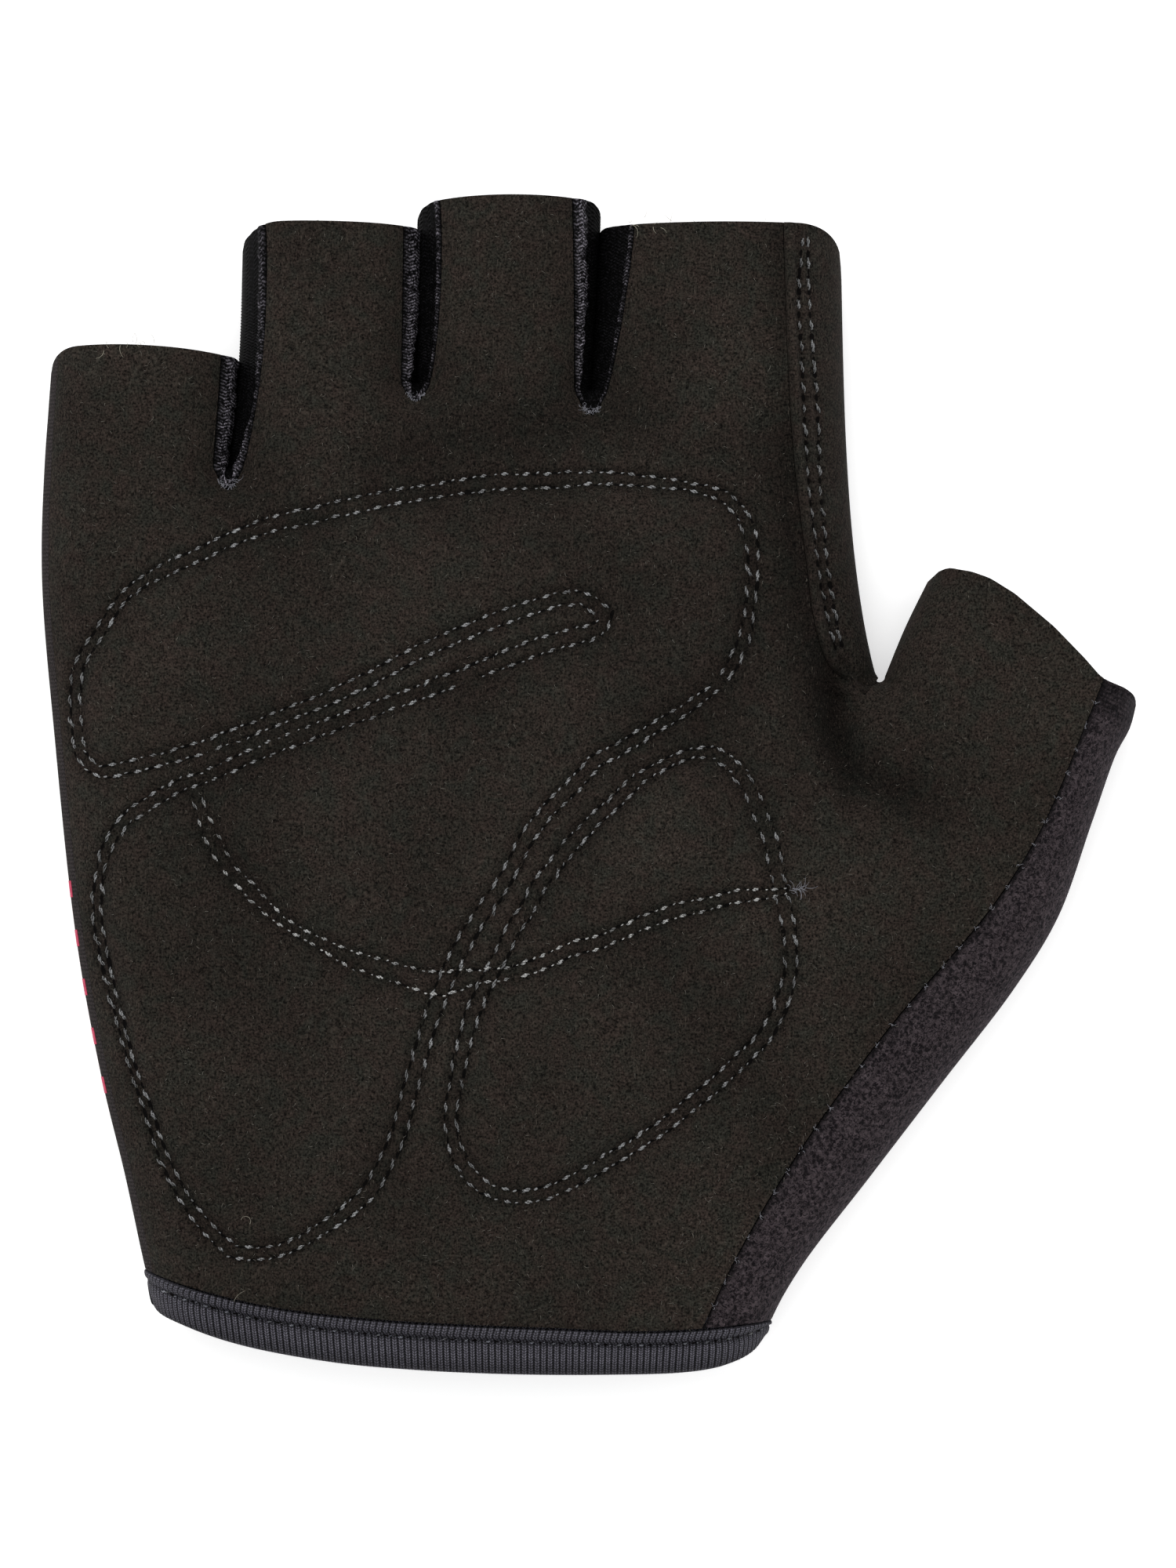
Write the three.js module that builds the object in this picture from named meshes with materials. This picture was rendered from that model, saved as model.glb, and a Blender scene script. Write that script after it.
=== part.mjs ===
// Fingerless cycling glove for the right hand, lying on its back with the palm up.
// Millimetres: +X towards the thumb, +Y towards the fingertips, +Z out of the palm.
//
// The glove is a flattened tube. In plan it is bounded by side edges: the little finger's outer edge,
// the V of each finger gap, the V between index finger and thumb, and the thumb's outer edge.
// Going in from a side edge, the palm sheet rises and the back sheet falls as a quarter of an ellipse,
// and each cut piece is a wall between that surface and one set in by the cloth's thickness.
import * as THREE from "three";

// Cloth thicknesses and seams
const suedeWall = 1.5;
const knitWall = 1.2;
const lycraWall = 1.0;
const bindingWall = 1.5;
const seamGap = 0.3;

// Middle of the outline across the hand, which becomes the origin
const outlineMiddle = 0.4;

// Height of the lying glove
const seamHeight = 7; // side edges above the surface that the glove lies on
const edgeRadius = 8; // how far in from a side edge the sheets level out
const fingerRise = 8; // palm sheet above the side edges
const palmCrown = 3.2; // further rise in the middle of the palm
const palmReach = 30; // distance from the side edges at which that rise is complete
const cuffCrownShare = 0.25; // part of the rise that is left at the cuff
const cuffCrownStart = -68.2; // height in plan at which it starts to grow
const cuffCrownFade = 34; // length over which it is gained

// Foam pads under the palm
const padLift = 1.3; // how far a pad raises the suede
const padShoulder = 7; // width of the slope round a pad
const padThickness = 2.2;
const padClearance = 0.6;
const padEdgeShare = 0.35; // thickness left at a pad's rim

// Seams that run beside the side edges, as angles round the edge from its widest line
const littleWrapAngle = THREE.MathUtils.degToRad(31);
const sidePanelBackAngle = THREE.MathUtils.degToRad(45);
const backWrapAngle = THREE.MathUtils.degToRad(60);
const gapAngle = seamGap / 2 / edgeRadius;
const lapLift = 0.7; // the side panel's folded edge stands this proud of the palm

// Fold that runs down from the thumb's crotch
const crease = { x: 32.3, top: 12.5, foot: -2, depth: 2.4, halfWidth: 2.6, topFade: 6, edgeFade: 4 };

// Side edges in plan, each from its lower end up
const littleEdge = [
  { x: -52.6, y: -76 }, { x: -56.1, y: -62 }, { x: -58.7, y: -50 }, { x: -61.6, y: -38 },
  { x: -64.9, y: -20 }, { x: -67.7, y: 6 }, { x: -69.3, y: 26 }, { x: -69, y: 40 }, { x: -67.6, y: 58 },
];
const indexEdge = [
  { x: 36.9, y: 13.6 }, { x: 35.5, y: 20.5 }, { x: 34.2, y: 29.9 }, { x: 33.2, y: 43.9 },
  { x: 32.4, y: 76 },
];
const thumbInnerEdge = [{ x: 38.3, y: 13.6 }, { x: 40.9, y: 19.9 }, { x: 44.4, y: 27 }];
const thumbOuterEdge = [
  { x: 21.6, y: -76 }, { x: 23.6, y: -69 }, { x: 27.3, y: -62.2 }, { x: 36.5, y: -50.1 },
  { x: 45.7, y: -38.1 }, { x: 54.9, y: -26.1 }, { x: 60.4, y: -17.1 }, { x: 64.7, y: -5.1 },
  { x: 67.9, y: 3.9 }, { x: 69.5, y: 6.9 }, { x: 70.4, y: 10.6 },
];

// Finger gaps: the foot of each V, the edge on either side of it, and how far in the strip's front seams
// lie from those edges at the hem
const gaps = {
  littleRing: {
    foot: { x: -45.3, y: 40.6 },
    left: { edge: [{ x: -44.7, y: 50 }, { x: -44.1, y: 58 }], reach: 1.8 },
    right: { edge: [{ x: -43.8, y: 54 }, { x: -43.1, y: 76 }], reach: 2.2 },
  },
  ringMiddle: {
    foot: { x: -21.5, y: 51.2 },
    left: { edge: [{ x: -21.5, y: 63 }, { x: -21.3, y: 76 }], reach: 2 },
    right: { edge: [{ x: -21.1, y: 63 }, { x: -20.9, y: 80 }], reach: 2.2 },
  },
  middleIndex: {
    foot: { x: 0.8, y: 50.4 },
    left: { edge: [{ x: 1.3, y: 63 }, { x: 1.9, y: 80 }], reach: 2.6 },
    right: { edge: [{ x: 1.8, y: 63 }, { x: 2.6, y: 76 }], reach: 3.3 },
  },
};
const footReach = 1.9; // the front seams' distance at the foot
const stripBackReach = 2; // the back seams' distance all the way
const gapFootRadius = 0.2;
const crotchRadius = 0.7;

// Finger hems: height at either side of the opening, how far it bows up between them, and the round
// corners, each as far down and as far in as it reaches
const fingers = [
  { left: 55.2, right: 54, bow: 0.9, leftDrop: 3.4, leftIn: 4, rightDrop: 0.6, rightIn: 1.5 },
  { left: 71.4, right: 70.9, bow: 0.3, leftDrop: 4, leftIn: 5, rightDrop: 0.8, rightIn: 1.5 },
  { left: 74.1, right: 74.3, bow: 0.8, leftDrop: 2.4, leftIn: 2.5, rightDrop: 1.9, rightIn: 1.5 },
  { left: 71.1, right: 71.2, bow: 0.4, leftDrop: 0.8, leftIn: 1.5, rightDrop: 4.9, rightIn: 6 },
];
const lastFinger = fingers.length - 1;
const knuckleRow = { little: 34, index: 44 }; // where the hand ends and those two fingers start
const cuffEnds = { little: -61.9, thumb: -68.6 }; // where the side edges meet the cuff

// Thumb opening, measured along the chord between its two side edges and out from it
const thumbEnd = { inner: 25.7, outer: 9.6 };
const thumbHem = [
  { along: 0, out: 0 }, { along: 0.025, out: 2 }, { along: 0.063, out: 3 }, { along: 0.21, out: 4.3 },
  { along: 0.33, out: 4.3 }, { along: 0.54, out: 3.4 }, { along: 0.72, out: 2.1 },
  { along: 0.83, out: 1.1 }, { along: 0.97, out: 1.4 }, { along: 1, out: 0 },
];

// Seam between the palm's suede and the thumb's knit, from the cuff up
const knitSeam = [
  { x: 14.8, y: -69.2 }, { x: 19.5, y: -59.4 }, { x: 27.2, y: -46.5 }, { x: 38.7, y: -30.7 },
  { x: 51.1, y: -16.2 }, { x: 57.8, y: -5.8 }, { x: 63.4, y: 7.4 }, { x: 65.8, y: 13.3 },
];
const knitSeamLag = 5; // how far the rows drop from that seam to the thumb's outer edge, halfway up
// Line where the hand's rows meet the thumb's rows, the seam of the two knits on the back
const thumbRoot = [{ x: 9.4, y: -69.3 }, { x: 18.4, y: -35.1 }, { x: 28.4, y: -5.1 }];
// How far the side panel's folded edge lies from the index finger's edge
const lapReach = [
  { y: 12.9, reach: 2.4 }, { y: 16, reach: 5.4 }, { y: 20, reach: 6.2 }, { y: 30, reach: 6.3 },
  { y: 44, reach: 6.9 }, { y: 72, reach: 7.6 },
];

// Cuff binding: its upper and lower edges across the wrist
const cuffUpper = [
  { x: -58, y: -61.2 }, { x: -51.3, y: -63.5 }, { x: -41, y: -66.1 }, { x: -26.3, y: -67.9 },
  { x: -4.1, y: -69 }, { x: 9, y: -69.4 }, { x: 26, y: -68.2 },
];
const cuffLower = [
  { x: -55.6, y: -65.9 }, { x: -54.4, y: -67.4 }, { x: -51.3, y: -68.8 }, { x: -43, y: -71.4 },
  { x: -31.9, y: -73.4 }, { x: -20.8, y: -74.4 }, { x: -9.6, y: -74.9 }, { x: 1.4, y: -75 },
  { x: 12.5, y: -74.7 }, { x: 18.1, y: -73.8 }, { x: 21.4, y: -72.3 }, { x: 23, y: -70.4 },
];
const bindingRimShare = 0.2; // how much of the binding's stand is left at the two side edges
// Section of the binding: down its height from 0 to 1, and out from the glove's surface
const bindingSection = [
  { down: 0, out: -bindingWall }, { down: 0, out: 0.2 }, { down: 0.08, out: 0.8 }, { down: 0.22, out: 0.8 },
  { down: 0.32, out: 0.3 }, { down: 0.9, out: 0.5 }, { down: 1, out: -0.1 }, { down: 1, out: -bindingWall },
];

// Pad outlines, round each pad in turn
const pads = {
  pad_knuckle: {
    middle: { x: -21, y: 27.5 },
    outline: [
      { x: -63.6, y: 6 }, { x: -63.8, y: 16 }, { x: -57.5, y: 25 }, { x: -43.1, y: 32 },
      { x: -21.4, y: 37 }, { x: 1.5, y: 38.6 }, { x: 15.5, y: 36.8 }, { x: 20.6, y: 30 },
      { x: 20.2, y: 22 }, { x: 6, y: 23.4 }, { x: -3, y: 23.6 }, { x: -20.1, y: 18.4 },
      { x: -43.1, y: 8.6 }, { x: -56, y: 4.2 },
    ],
  },
  pad_centre: {
    middle: { x: -12.5, y: 4.5 },
    outline: [
      { x: -44, y: 2.4 }, { x: -30.3, y: 6.8 }, { x: -14.4, y: 12.6 }, { x: -2, y: 16.8 },
      { x: 8, y: 19 }, { x: 18.8, y: 18.8 }, { x: 16.5, y: 12.4 }, { x: 7.6, y: 7 }, { x: -1.4, y: 0 },
      { x: -10.5, y: -10.4 }, { x: -17.8, y: -22.2 }, { x: -26.6, y: -21.2 }, { x: -35.6, y: -17.4 },
      { x: -42.6, y: -11.2 }, { x: -46.6, y: -4 },
    ],
  },
  pad_heel: {
    middle: { x: -40, y: -34 },
    outline: [
      { x: -49.4, y: -1.8 }, { x: -47.8, y: -9.6 }, { x: -40.8, y: -17.4 }, { x: -31, y: -23.2 },
      { x: -20.2, y: -26.4 }, { x: -22.4, y: -37 }, { x: -25, y: -46 }, { x: -30, y: -52.4 },
      { x: -38, y: -57 }, { x: -45, y: -57.4 }, { x: -50.8, y: -51.6 }, { x: -56, y: -38 },
      { x: -59.6, y: -25.6 }, { x: -61.4, y: -13 }, { x: -58.6, y: -5 },
    ],
  },
  pad_thumb: {
    middle: { x: 4, y: -26 },
    outline: [
      { x: 13, y: 3.6 }, { x: 18.2, y: 2.8 }, { x: 22.6, y: -4.8 }, { x: 25.6, y: -16 },
      { x: 25.8, y: -25.4 }, { x: 22, y: -33 }, { x: 12, y: -42.2 }, { x: -1.6, y: -50.6 },
      { x: -12.6, y: -51.4 }, { x: -17, y: -44 }, { x: -15, y: -30.4 }, { x: -8.6, y: -18 },
      { x: -1, y: -7 }, { x: 6.4, y: 0.4 },
    ],
  },
};

// How finely each piece is divided
const handRows = 21;
const crotchRow = 14; // the hand's row that reaches the thumb's crotch
const fingerSideRows = 3;
const footTurns = [-150, -120, -90, -60, -30]; // angles round the foot of a V
const crotchTurn = { palm: -130, back: -133, sidePanel: -136, foot: -90, rise: -50 }; // at the crotch
const edgeSamples = 40;
const rimSamples = 96;
const onePoint = 0.002; // corners of a panel closer than this are one
const cuffColumns = 20;
const padColumns = 22;
const padRings = [0.45, 0.8, 1];
const palmColumns = [0, 0.11, 0.26, 0.42, 0.58, 0.74, 0.89, 1]; // across one finger
const backColumns = [0, 0.14, 0.34, 0.66, 0.86, 1];
const cuffShares = [0, 0.24, 0.5, 0.75, 1]; // where the fingers' columns meet the cuff
const thumbColumns = [0, 0.03, 0.11, 0.25, 0.42, 0.6, 0.8, 1];
const thumbFrontColumns = [0, 0.45, 0.75, 0.93];
const thumbUnderColumns = [0.22, 0.45, 0.66, 0.84, 0.96, 1];
const quarterTurns = [0, Math.PI / 6, Math.PI / 3, Math.PI / 2]; // round a side edge
const lapColumns = [1, 0.62, 0.3, 0.08]; // from the side panel's folded edge to the side edge
const stripColumns = [0, 0.28, 1];
// The thumb's rows from the crotch up: how far up the knit seam, and their share of the hem's bow
const pastCrotch = [
  { up: 0.78, bow: 0 }, { up: 0.81, bow: 0 }, { up: 0.835, bow: 0 }, { up: 0.86, bow: 0.05 },
  { up: 0.895, bow: 0.2 }, { up: 0.93, bow: 0.45 }, { up: 0.965, bow: 0.75 }, { up: 1, bow: 1 },
];

// Cloth colours
const suede = { colour: 0x2a2623, roughness: 0.95 };
const backKnit = { colour: 0x232227, roughness: 0.9 };
const thumbKnit = { colour: 0x2e282c, roughness: 1 };
const lycra = { colour: 0x17171d, roughness: 0.5 };
const elastic = { colour: 0x2c2e36, roughness: 0.6 };
const foam = { colour: 0x55524e, roughness: 1 };

const clamp01 = (t) => Math.min(Math.max(t, 0), 1);
const smooth = (t) => clamp01(t) ** 2 * (3 - 2 * clamp01(t));
const mix = (a, b, t) => a + (b - a) * t;
const hump = (t) => 4 * t * (1 - t); // 0 at both ends and 1 halfway
const quarterRound = (t) => Math.sqrt(1 - (1 - clamp01(t)) ** 2);
const difference = (a, b) => ({ x: a.x - b.x, y: a.y - b.y });

// A point between two others. The ends themselves keep what they carry.
function mixPoint(a, b, t) {
  if (t === 0) return a;
  if (t === 1) return b;
  return { x: mix(a.x, b.x, t), y: mix(a.y, b.y, t) };
}

function curveThrough(points, closed = false) {
  const knots = points.map((p) => new THREE.Vector3(p.x, p.y, 0));
  return new THREE.CatmullRomCurve3(knots, closed, "centripetal");
}

// Value of a table's column at a place along another column, straight between rows
function lookUp(table, key, value, at) {
  const last = table.length - 1;
  if (at <= table[0][key]) return table[0][value];
  if (at >= table[last][key]) return table[last][value];
  const row = table.findIndex((entry) => entry[key] > at);
  const share = (at - table[row - 1][key]) / (table[row][key] - table[row - 1][key]);
  return mix(table[row - 1][value], table[row][value], share);
}

// A side edge: samples from the lower end up, each with the direction into the cloth
function makeEdge(points, clothSide) {
  const curve = curveThrough(points);
  const samples = [];
  for (let i = 0; i <= edgeSamples; i += 1) {
    const at = curve.getPointAt(i / edgeSamples);
    const run = curve.getTangentAt(i / edgeSamples);
    samples.push({ x: at.x, y: at.y, nx: clothSide * run.y, ny: -clothSide * run.x });
  }
  return samples;
}

function mixStation(a, b, t) {
  const nx = mix(a.nx, b.nx, t);
  const ny = mix(a.ny, b.ny, t);
  const length = Math.hypot(nx, ny);
  return { ...mixPoint(a, b, t), nx: nx / length, ny: ny / length };
}

function stationAtHeight(edge, y) {
  const next = edge.findIndex((sample) => sample.y >= y);
  if (next < 1) return next === 0 ? edge[0] : edge[edge.length - 1];
  return mixStation(edge[next - 1], edge[next], (y - edge[next - 1].y) / (edge[next].y - edge[next - 1].y));
}

// Station on the round foot of a V, at an angle of its direction into the cloth
function footStation(centre, radius, degrees) {
  const angle = THREE.MathUtils.degToRad(degrees);
  const nx = Math.cos(angle);
  const ny = Math.sin(angle);
  return { x: centre.x + radius * nx, y: centre.y + radius * ny, nx, ny };
}

function makeGap({ foot, left, right }) {
  return {
    foot,
    leftEdge: makeEdge([{ x: foot.x - gapFootRadius, y: foot.y }, ...left.edge], -1),
    rightEdge: makeEdge([{ x: foot.x + gapFootRadius, y: foot.y }, ...right.edge], 1),
    leftReach: left.reach,
    rightReach: right.reach,
    footArc: footTurns.map((degrees) => footStation(foot, gapFootRadius, degrees)),
  };
}

const little = makeEdge(littleEdge, 1);
const index = makeEdge(indexEdge, -1);
const thumbInner = makeEdge(thumbInnerEdge, 1);
const thumbOuter = makeEdge(thumbOuterEdge, -1);
const gapList = [gaps.littleRing, gaps.ringMiddle, gaps.middleIndex].map(makeGap);
const crotch = mixPoint(indexEdge[0], thumbInnerEdge[0], 0.5);
const crotchStation = (degrees) => footStation(crotch, crotchRadius, degrees);
const crotchArc = footTurns.map(crotchStation);
const allEdges = [
  little, index, thumbInner, thumbOuter, crotchArc,
  ...gapList.flatMap((gap) => [gap.leftEdge, gap.rightEdge, gap.footArc]),
];

// Distance from the nearest side edge, and the direction away from it
function nearestEdge(x, y) {
  let best = { distance: Infinity };
  for (const edge of allEdges) {
    for (let i = 1; i < edge.length; i += 1) {
      const a = edge[i - 1];
      const b = edge[i];
      const along = (x - a.x) * (b.x - a.x) + (y - a.y) * (b.y - a.y);
      const foot = mixStation(a, b, clamp01(along / ((b.x - a.x) ** 2 + (b.y - a.y) ** 2)));
      const distance = Math.hypot(x - foot.x, y - foot.y);
      if (distance < best.distance) best = { distance, nx: foot.nx, ny: foot.ny };
    }
  }
  return best;
}

for (const pad of Object.values(pads)) {
  pad.rim = curveThrough(pad.outline, true).getSpacedPoints(rimSamples);
}

// How far a point lies inside a pad's outline, or 0 outside it
function depthInside(rim, x, y) {
  let inside = false;
  let nearest = Infinity;
  for (let i = 1; i < rim.length; i += 1) {
    const a = rim[i - 1];
    const b = rim[i];
    if (a.y > y !== b.y > y && x < mix(a.x, b.x, (y - a.y) / (b.y - a.y))) inside = !inside;
    nearest = Math.min(nearest, Math.hypot(x - a.x, y - a.y));
  }
  return inside ? nearest : 0;
}

function padRelief(x, y) {
  const depths = Object.values(pads).map((pad) => depthInside(pad.rim, x, y));
  return padLift * smooth(Math.max(...depths) / padShoulder);
}

function creaseDepth(x, y, distance) {
  const below = smooth((y - crease.foot) / (crease.top - crease.foot));
  const above = smooth(1 - (y - crease.top) / crease.topFade);
  const across = Math.exp(-(((x - crease.x) / crease.halfWidth) ** 2));
  return crease.depth * below * above * across * smooth(distance / crease.edgeFade);
}

function palmHeight(x, y, distance, sine) {
  const pastCuff = smooth((y - cuffCrownStart) / cuffCrownFade);
  const crown = palmCrown * smooth(distance / palmReach) * mix(cuffCrownShare, 1, pastCuff);
  return seamHeight + fingerRise * sine + crown + padRelief(x, y) - creaseDepth(x, y, distance);
}

// A point of the glove's surface, moved out along its normal. side is 1 on the palm and -1 on the back.
function surfacePoint(plan, near, side, out) {
  const cosine = 1 - clamp01(near.distance / edgeRadius);
  const sine = quarterRound(near.distance / edgeRadius);
  const height = side > 0 ? palmHeight(plan.x, plan.y, near.distance, sine) : seamHeight * (1 - sine);
  const move = out * cosine;
  return [plan.x - near.nx * move, plan.y - near.ny * move, Math.max(0, height + side * out * sine)];
}

// Both faces of a wall at a point in plan, which may carry its own place beside an edge
function wallAt(plan, side, wall, lift = 0) {
  const near = plan.near ?? nearestEdge(plan.x, plan.y);
  return [surfacePoint(plan, near, side, lift), surfacePoint(plan, near, side, lift - wall)];
}

// A point in plan beside a station of an edge
function beside(station, reach, hem = null) {
  const plan = { x: station.x + station.nx * reach, y: station.y + station.ny * reach };
  if (hem) plan.y = hem(plan.x);
  plan.near = { distance: reach, nx: station.nx, ny: station.ny };
  return plan;
}

// The reach of an angle round the edge: 0 is the widest line
const reachOf = (angle) => edgeRadius * (1 - Math.cos(angle));

function makeMesh(name, points, triangles, colour, roughness) {
  const corners = points.map((p) => new THREE.Vector3(...p));
  let volume = 0;
  for (let i = 0; i < triangles.length; i += 3) {
    const [a, b, c] = [0, 1, 2].map((k) => corners[triangles[i + k]]);
    volume += a.dot(new THREE.Vector3().crossVectors(b, c));
  }
  const geometry = new THREE.BufferGeometry();
  geometry.setAttribute("position", new THREE.Float32BufferAttribute(points.flat(), 3));
  geometry.setIndex(volume < 0 ? triangles.toReversed() : triangles);
  geometry.computeVertexNormals();
  const material = new THREE.MeshStandardMaterial({ color: colour, roughness, metalness: 0 });
  const mesh = new THREE.Mesh(geometry, material);
  mesh.name = name;
  return mesh;
}

// A closed solid from grids of wall points, joined where they share a point
function makePanel(name, grids, { colour, roughness }) {
  const ids = new Map();
  const outer = [];
  const inner = [];
  const vertex = ([out, back]) => {
    const key = out.map((value) => Math.round(value / onePoint)).join();
    if (!ids.has(key)) {
      ids.set(key, outer.length);
      outer.push(out);
      inner.push(back);
    }
    return ids.get(key);
  };
  const faces = [];
  const sides = new Map();
  const addFace = (a, b, c) => {
    if (a === b || b === c || c === a) return;
    faces.push([a, b, c]);
    for (const [from, to] of [[a, b], [b, c], [c, a]]) sides.set(from + "," + to, [from, to]);
  };
  for (const grid of grids) {
    const rows = grid.map((row) => row.map(vertex));
    for (let r = 1; r < rows.length; r += 1) {
      for (let c = 1; c < rows[r].length; c += 1) {
        addFace(rows[r - 1][c - 1], rows[r - 1][c], rows[r][c]);
        addFace(rows[r - 1][c - 1], rows[r][c], rows[r][c - 1]);
      }
    }
  }
  const count = outer.length;
  const triangles = faces.flatMap(([a, b, c]) => [a, b, c, a + count, c + count, b + count]);
  for (const [from, to] of sides.values()) {
    if (sides.has(to + "," + from)) continue;
    triangles.push(from, from + count, to + count, from, to + count, to);
  }
  return makeMesh(name, [...outer, ...inner], triangles, colour, roughness);
}

const cuffHeight = (x) => lookUp(cuffUpper, "x", "y", x);

// Hem of a finger, as a height at a place across it
function fingerHem(finger, number) {
  const leftEdge = number === 0 ? little : gapList[number - 1].rightEdge;
  const rightEdge = number === lastFinger ? index : gapList[number].leftEdge;
  const left = stationAtHeight(leftEdge, finger.left - finger.leftDrop);
  const right = stationAtHeight(rightEdge, finger.right - finger.rightDrop);
  return (x) => {
    const share = clamp01((x - left.x) / (right.x - left.x));
    const height = mix(finger.left, finger.right, share) + finger.bow * hump(share);
    const leftCorner = finger.leftDrop * (1 - quarterRound((x - left.x) / finger.leftIn));
    const rightCorner = finger.rightDrop * (1 - quarterRound((right.x - x) / finger.rightIn));
    return height - leftCorner - rightCorner;
  };
}
const hems = fingers.map(fingerHem);
const leftEnds = fingers.map((finger) => finger.left - finger.leftDrop);
const rightEnds = fingers.map((finger) => finger.right - finger.rightDrop);

// Stations up one side of a finger gap: its foot, the turn beside that, then the side up to the hem.
// Each carries how far in the strip's front seam lies there.
function gapStations(gap, toRight, hemHeight) {
  const turns = [-90, toRight ? -45 : -135];
  const stations = turns.map((degrees) => footStation(gap.foot, gapFootRadius, degrees));
  const edge = toRight ? gap.rightEdge : gap.leftEdge;
  for (let row = 0; row <= fingerSideRows; row += 1) {
    stations.push(stationAtHeight(edge, mix(gap.foot.y, hemHeight, row / fingerSideRows)));
  }
  const hemReach = toRight ? gap.rightReach : gap.leftReach;
  return stations.map((station, row) => ({
    ...station,
    seam: mix(footReach, hemReach, clamp01((row - 2) / fingerSideRows)),
  }));
}

// Stations up an outer edge, level with the rows of a gap
function edgeStations(edge, foot, top, rows) {
  const stations = [];
  for (let row = 0; row <= rows; row += 1) {
    stations.push(stationAtHeight(edge, mix(foot, top, row / rows)));
  }
  return stations;
}

const fingerRows = fingerSideRows + 2;
const leftStations = leftEnds.map((end, number) =>
  number === 0
    ? edgeStations(little, knuckleRow.little, end, fingerRows)
    : gapStations(gapList[number - 1], true, end));
const rightStations = rightEnds.map((end, number) =>
  number === lastFinger
    ? edgeStations(index, knuckleRow.index, end, fingerRows)
    : gapStations(gapList[number], false, end));

// The hand's rows on its two outer edges: the little finger's, and the index finger's above the crotch
const littleRows = edgeStations(little, cuffEnds.little, knuckleRow.little, handRows);
const indexRows = edgeStations(index, crotch.y, knuckleRow.index, handRows - crotchRow).slice(1);
const lapAt = (station) => lookUp(lapReach, "y", "reach", station.y);

// The line of the hand's last column below the crotch, from the cuff up to a point beside the crotch
function rootLine(end, shift) {
  const curve = curveThrough([...thumbRoot, end]);
  const line = [];
  for (let row = 0; row < crotchRow; row += 1) {
    const at = curve.getPointAt(row / crotchRow);
    line.push({ x: at.x + shift, y: row === 0 ? cuffHeight(at.x + shift) : at.y });
  }
  return [...line, end];
}

// Grid of the hand between its left and right boundaries, and one grid for each finger above it
function handGrids(columns, left, right, fingerLeft, fingerRight, wallOf) {
  const feet = [...fingerLeft.map((line) => line[0]), fingerRight[lastFinger][0]];
  const bottom = [];
  const top = [];
  const shares = [];
  for (let finger = 0; finger < fingers.length; finger += 1) {
    for (const column of finger === 0 ? columns : columns.slice(1)) {
      const x = mix(left[0].x, right[0].x, mix(cuffShares[finger], cuffShares[finger + 1], column));
      bottom.push({ x, y: cuffHeight(x) });
      top.push(mixPoint(feet[finger], feet[finger + 1], column));
      shares.push((finger + column) / fingers.length);
    }
  }
  const last = bottom.length - 1;
  const hand = [bottom];
  for (let row = 1; row < handRows; row += 1) {
    const up = row / handRows;
    const leftPull = difference(left[row], mixPoint(bottom[0], top[0], up));
    const rightPull = difference(right[row], mixPoint(bottom[last], top[last], up));
    hand.push(shares.map((share, i) => {
      if (i === 0) return left[row];
      if (i === last) return right[row];
      const straight = mixPoint(bottom[i], top[i], up);
      const pull = mixPoint(leftPull, rightPull, share);
      return { x: straight.x + pull.x, y: straight.y + pull.y };
    }));
  }
  hand.push(top);
  const fingerGrids = fingers.map((_, number) =>
    fingerLeft[number].map((start, row) =>
      columns.map((column) => {
        const plan = mixPoint(start, fingerRight[number][row], column);
        return row === fingerRows ? { ...plan, y: hems[number](plan.x) } : plan;
      })));
  return [hand, ...fingerGrids].map((grid) => grid.map((row) => row.map(wallOf)));
}

// The thumb's hem: a chord between its two side edges, bowed out
const thumbLeft = stationAtHeight(thumbInner, thumbEnd.inner);
const thumbRight = stationAtHeight(thumbOuter, thumbEnd.outer);
const chordLength = Math.hypot(thumbRight.x - thumbLeft.x, thumbRight.y - thumbLeft.y);
const chordOut = {
  x: (thumbLeft.y - thumbRight.y) / chordLength,
  y: (thumbRight.x - thumbLeft.x) / chordLength,
};
const hemOut = (along) => lookUp(thumbHem, "along", "out", along);

// A point of a thumb row between two places along the hem's chord, with that row's share of the bow
function thumbPoint(from, to, share, alongFrom, alongTo, bowShare) {
  const plan = mixPoint(from, to, share);
  if (share === 0 || share === 1) return plan;
  const bow = hemOut(mix(alongFrom, alongTo, share)) - mix(hemOut(alongFrom), hemOut(alongTo), share);
  return { x: plan.x + chordOut.x * bow * bowShare, y: plan.y + chordOut.y * bow * bowShare };
}

// The thumb's rows: how far up the knit seam each starts, and its share of the hem's bow
const thumbRows = [];
for (let row = 0; row < crotchRow; row += 1) {
  thumbRows.push({ up: (row / crotchRow) * pastCrotch[0].up, bow: 0 });
}
thumbRows.push(...pastCrotch);
const seamCurve = curveThrough(knitSeam);
const seamPoints = thumbRows.map(({ up }) => {
  const at = seamCurve.getPointAt(up);
  return { x: at.x, y: at.y };
});
const seamAlong = (seamPoints.at(-1).x - thumbLeft.x) / (thumbRight.x - thumbLeft.x);

// Stations round the crotch and up the thumb's inner edge, for the rows past the first of those
const roundCrotch = [crotchTurn.palm, crotchTurn.foot, crotchTurn.rise].map(crotchStation);
const innerRows = pastCrotch.length - 1 - roundCrotch.length;
const innerStations = [
  ...roundCrotch, ...edgeStations(thumbInner, crotch.y, thumbEnd.inner, innerRows - 1),
];

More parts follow.
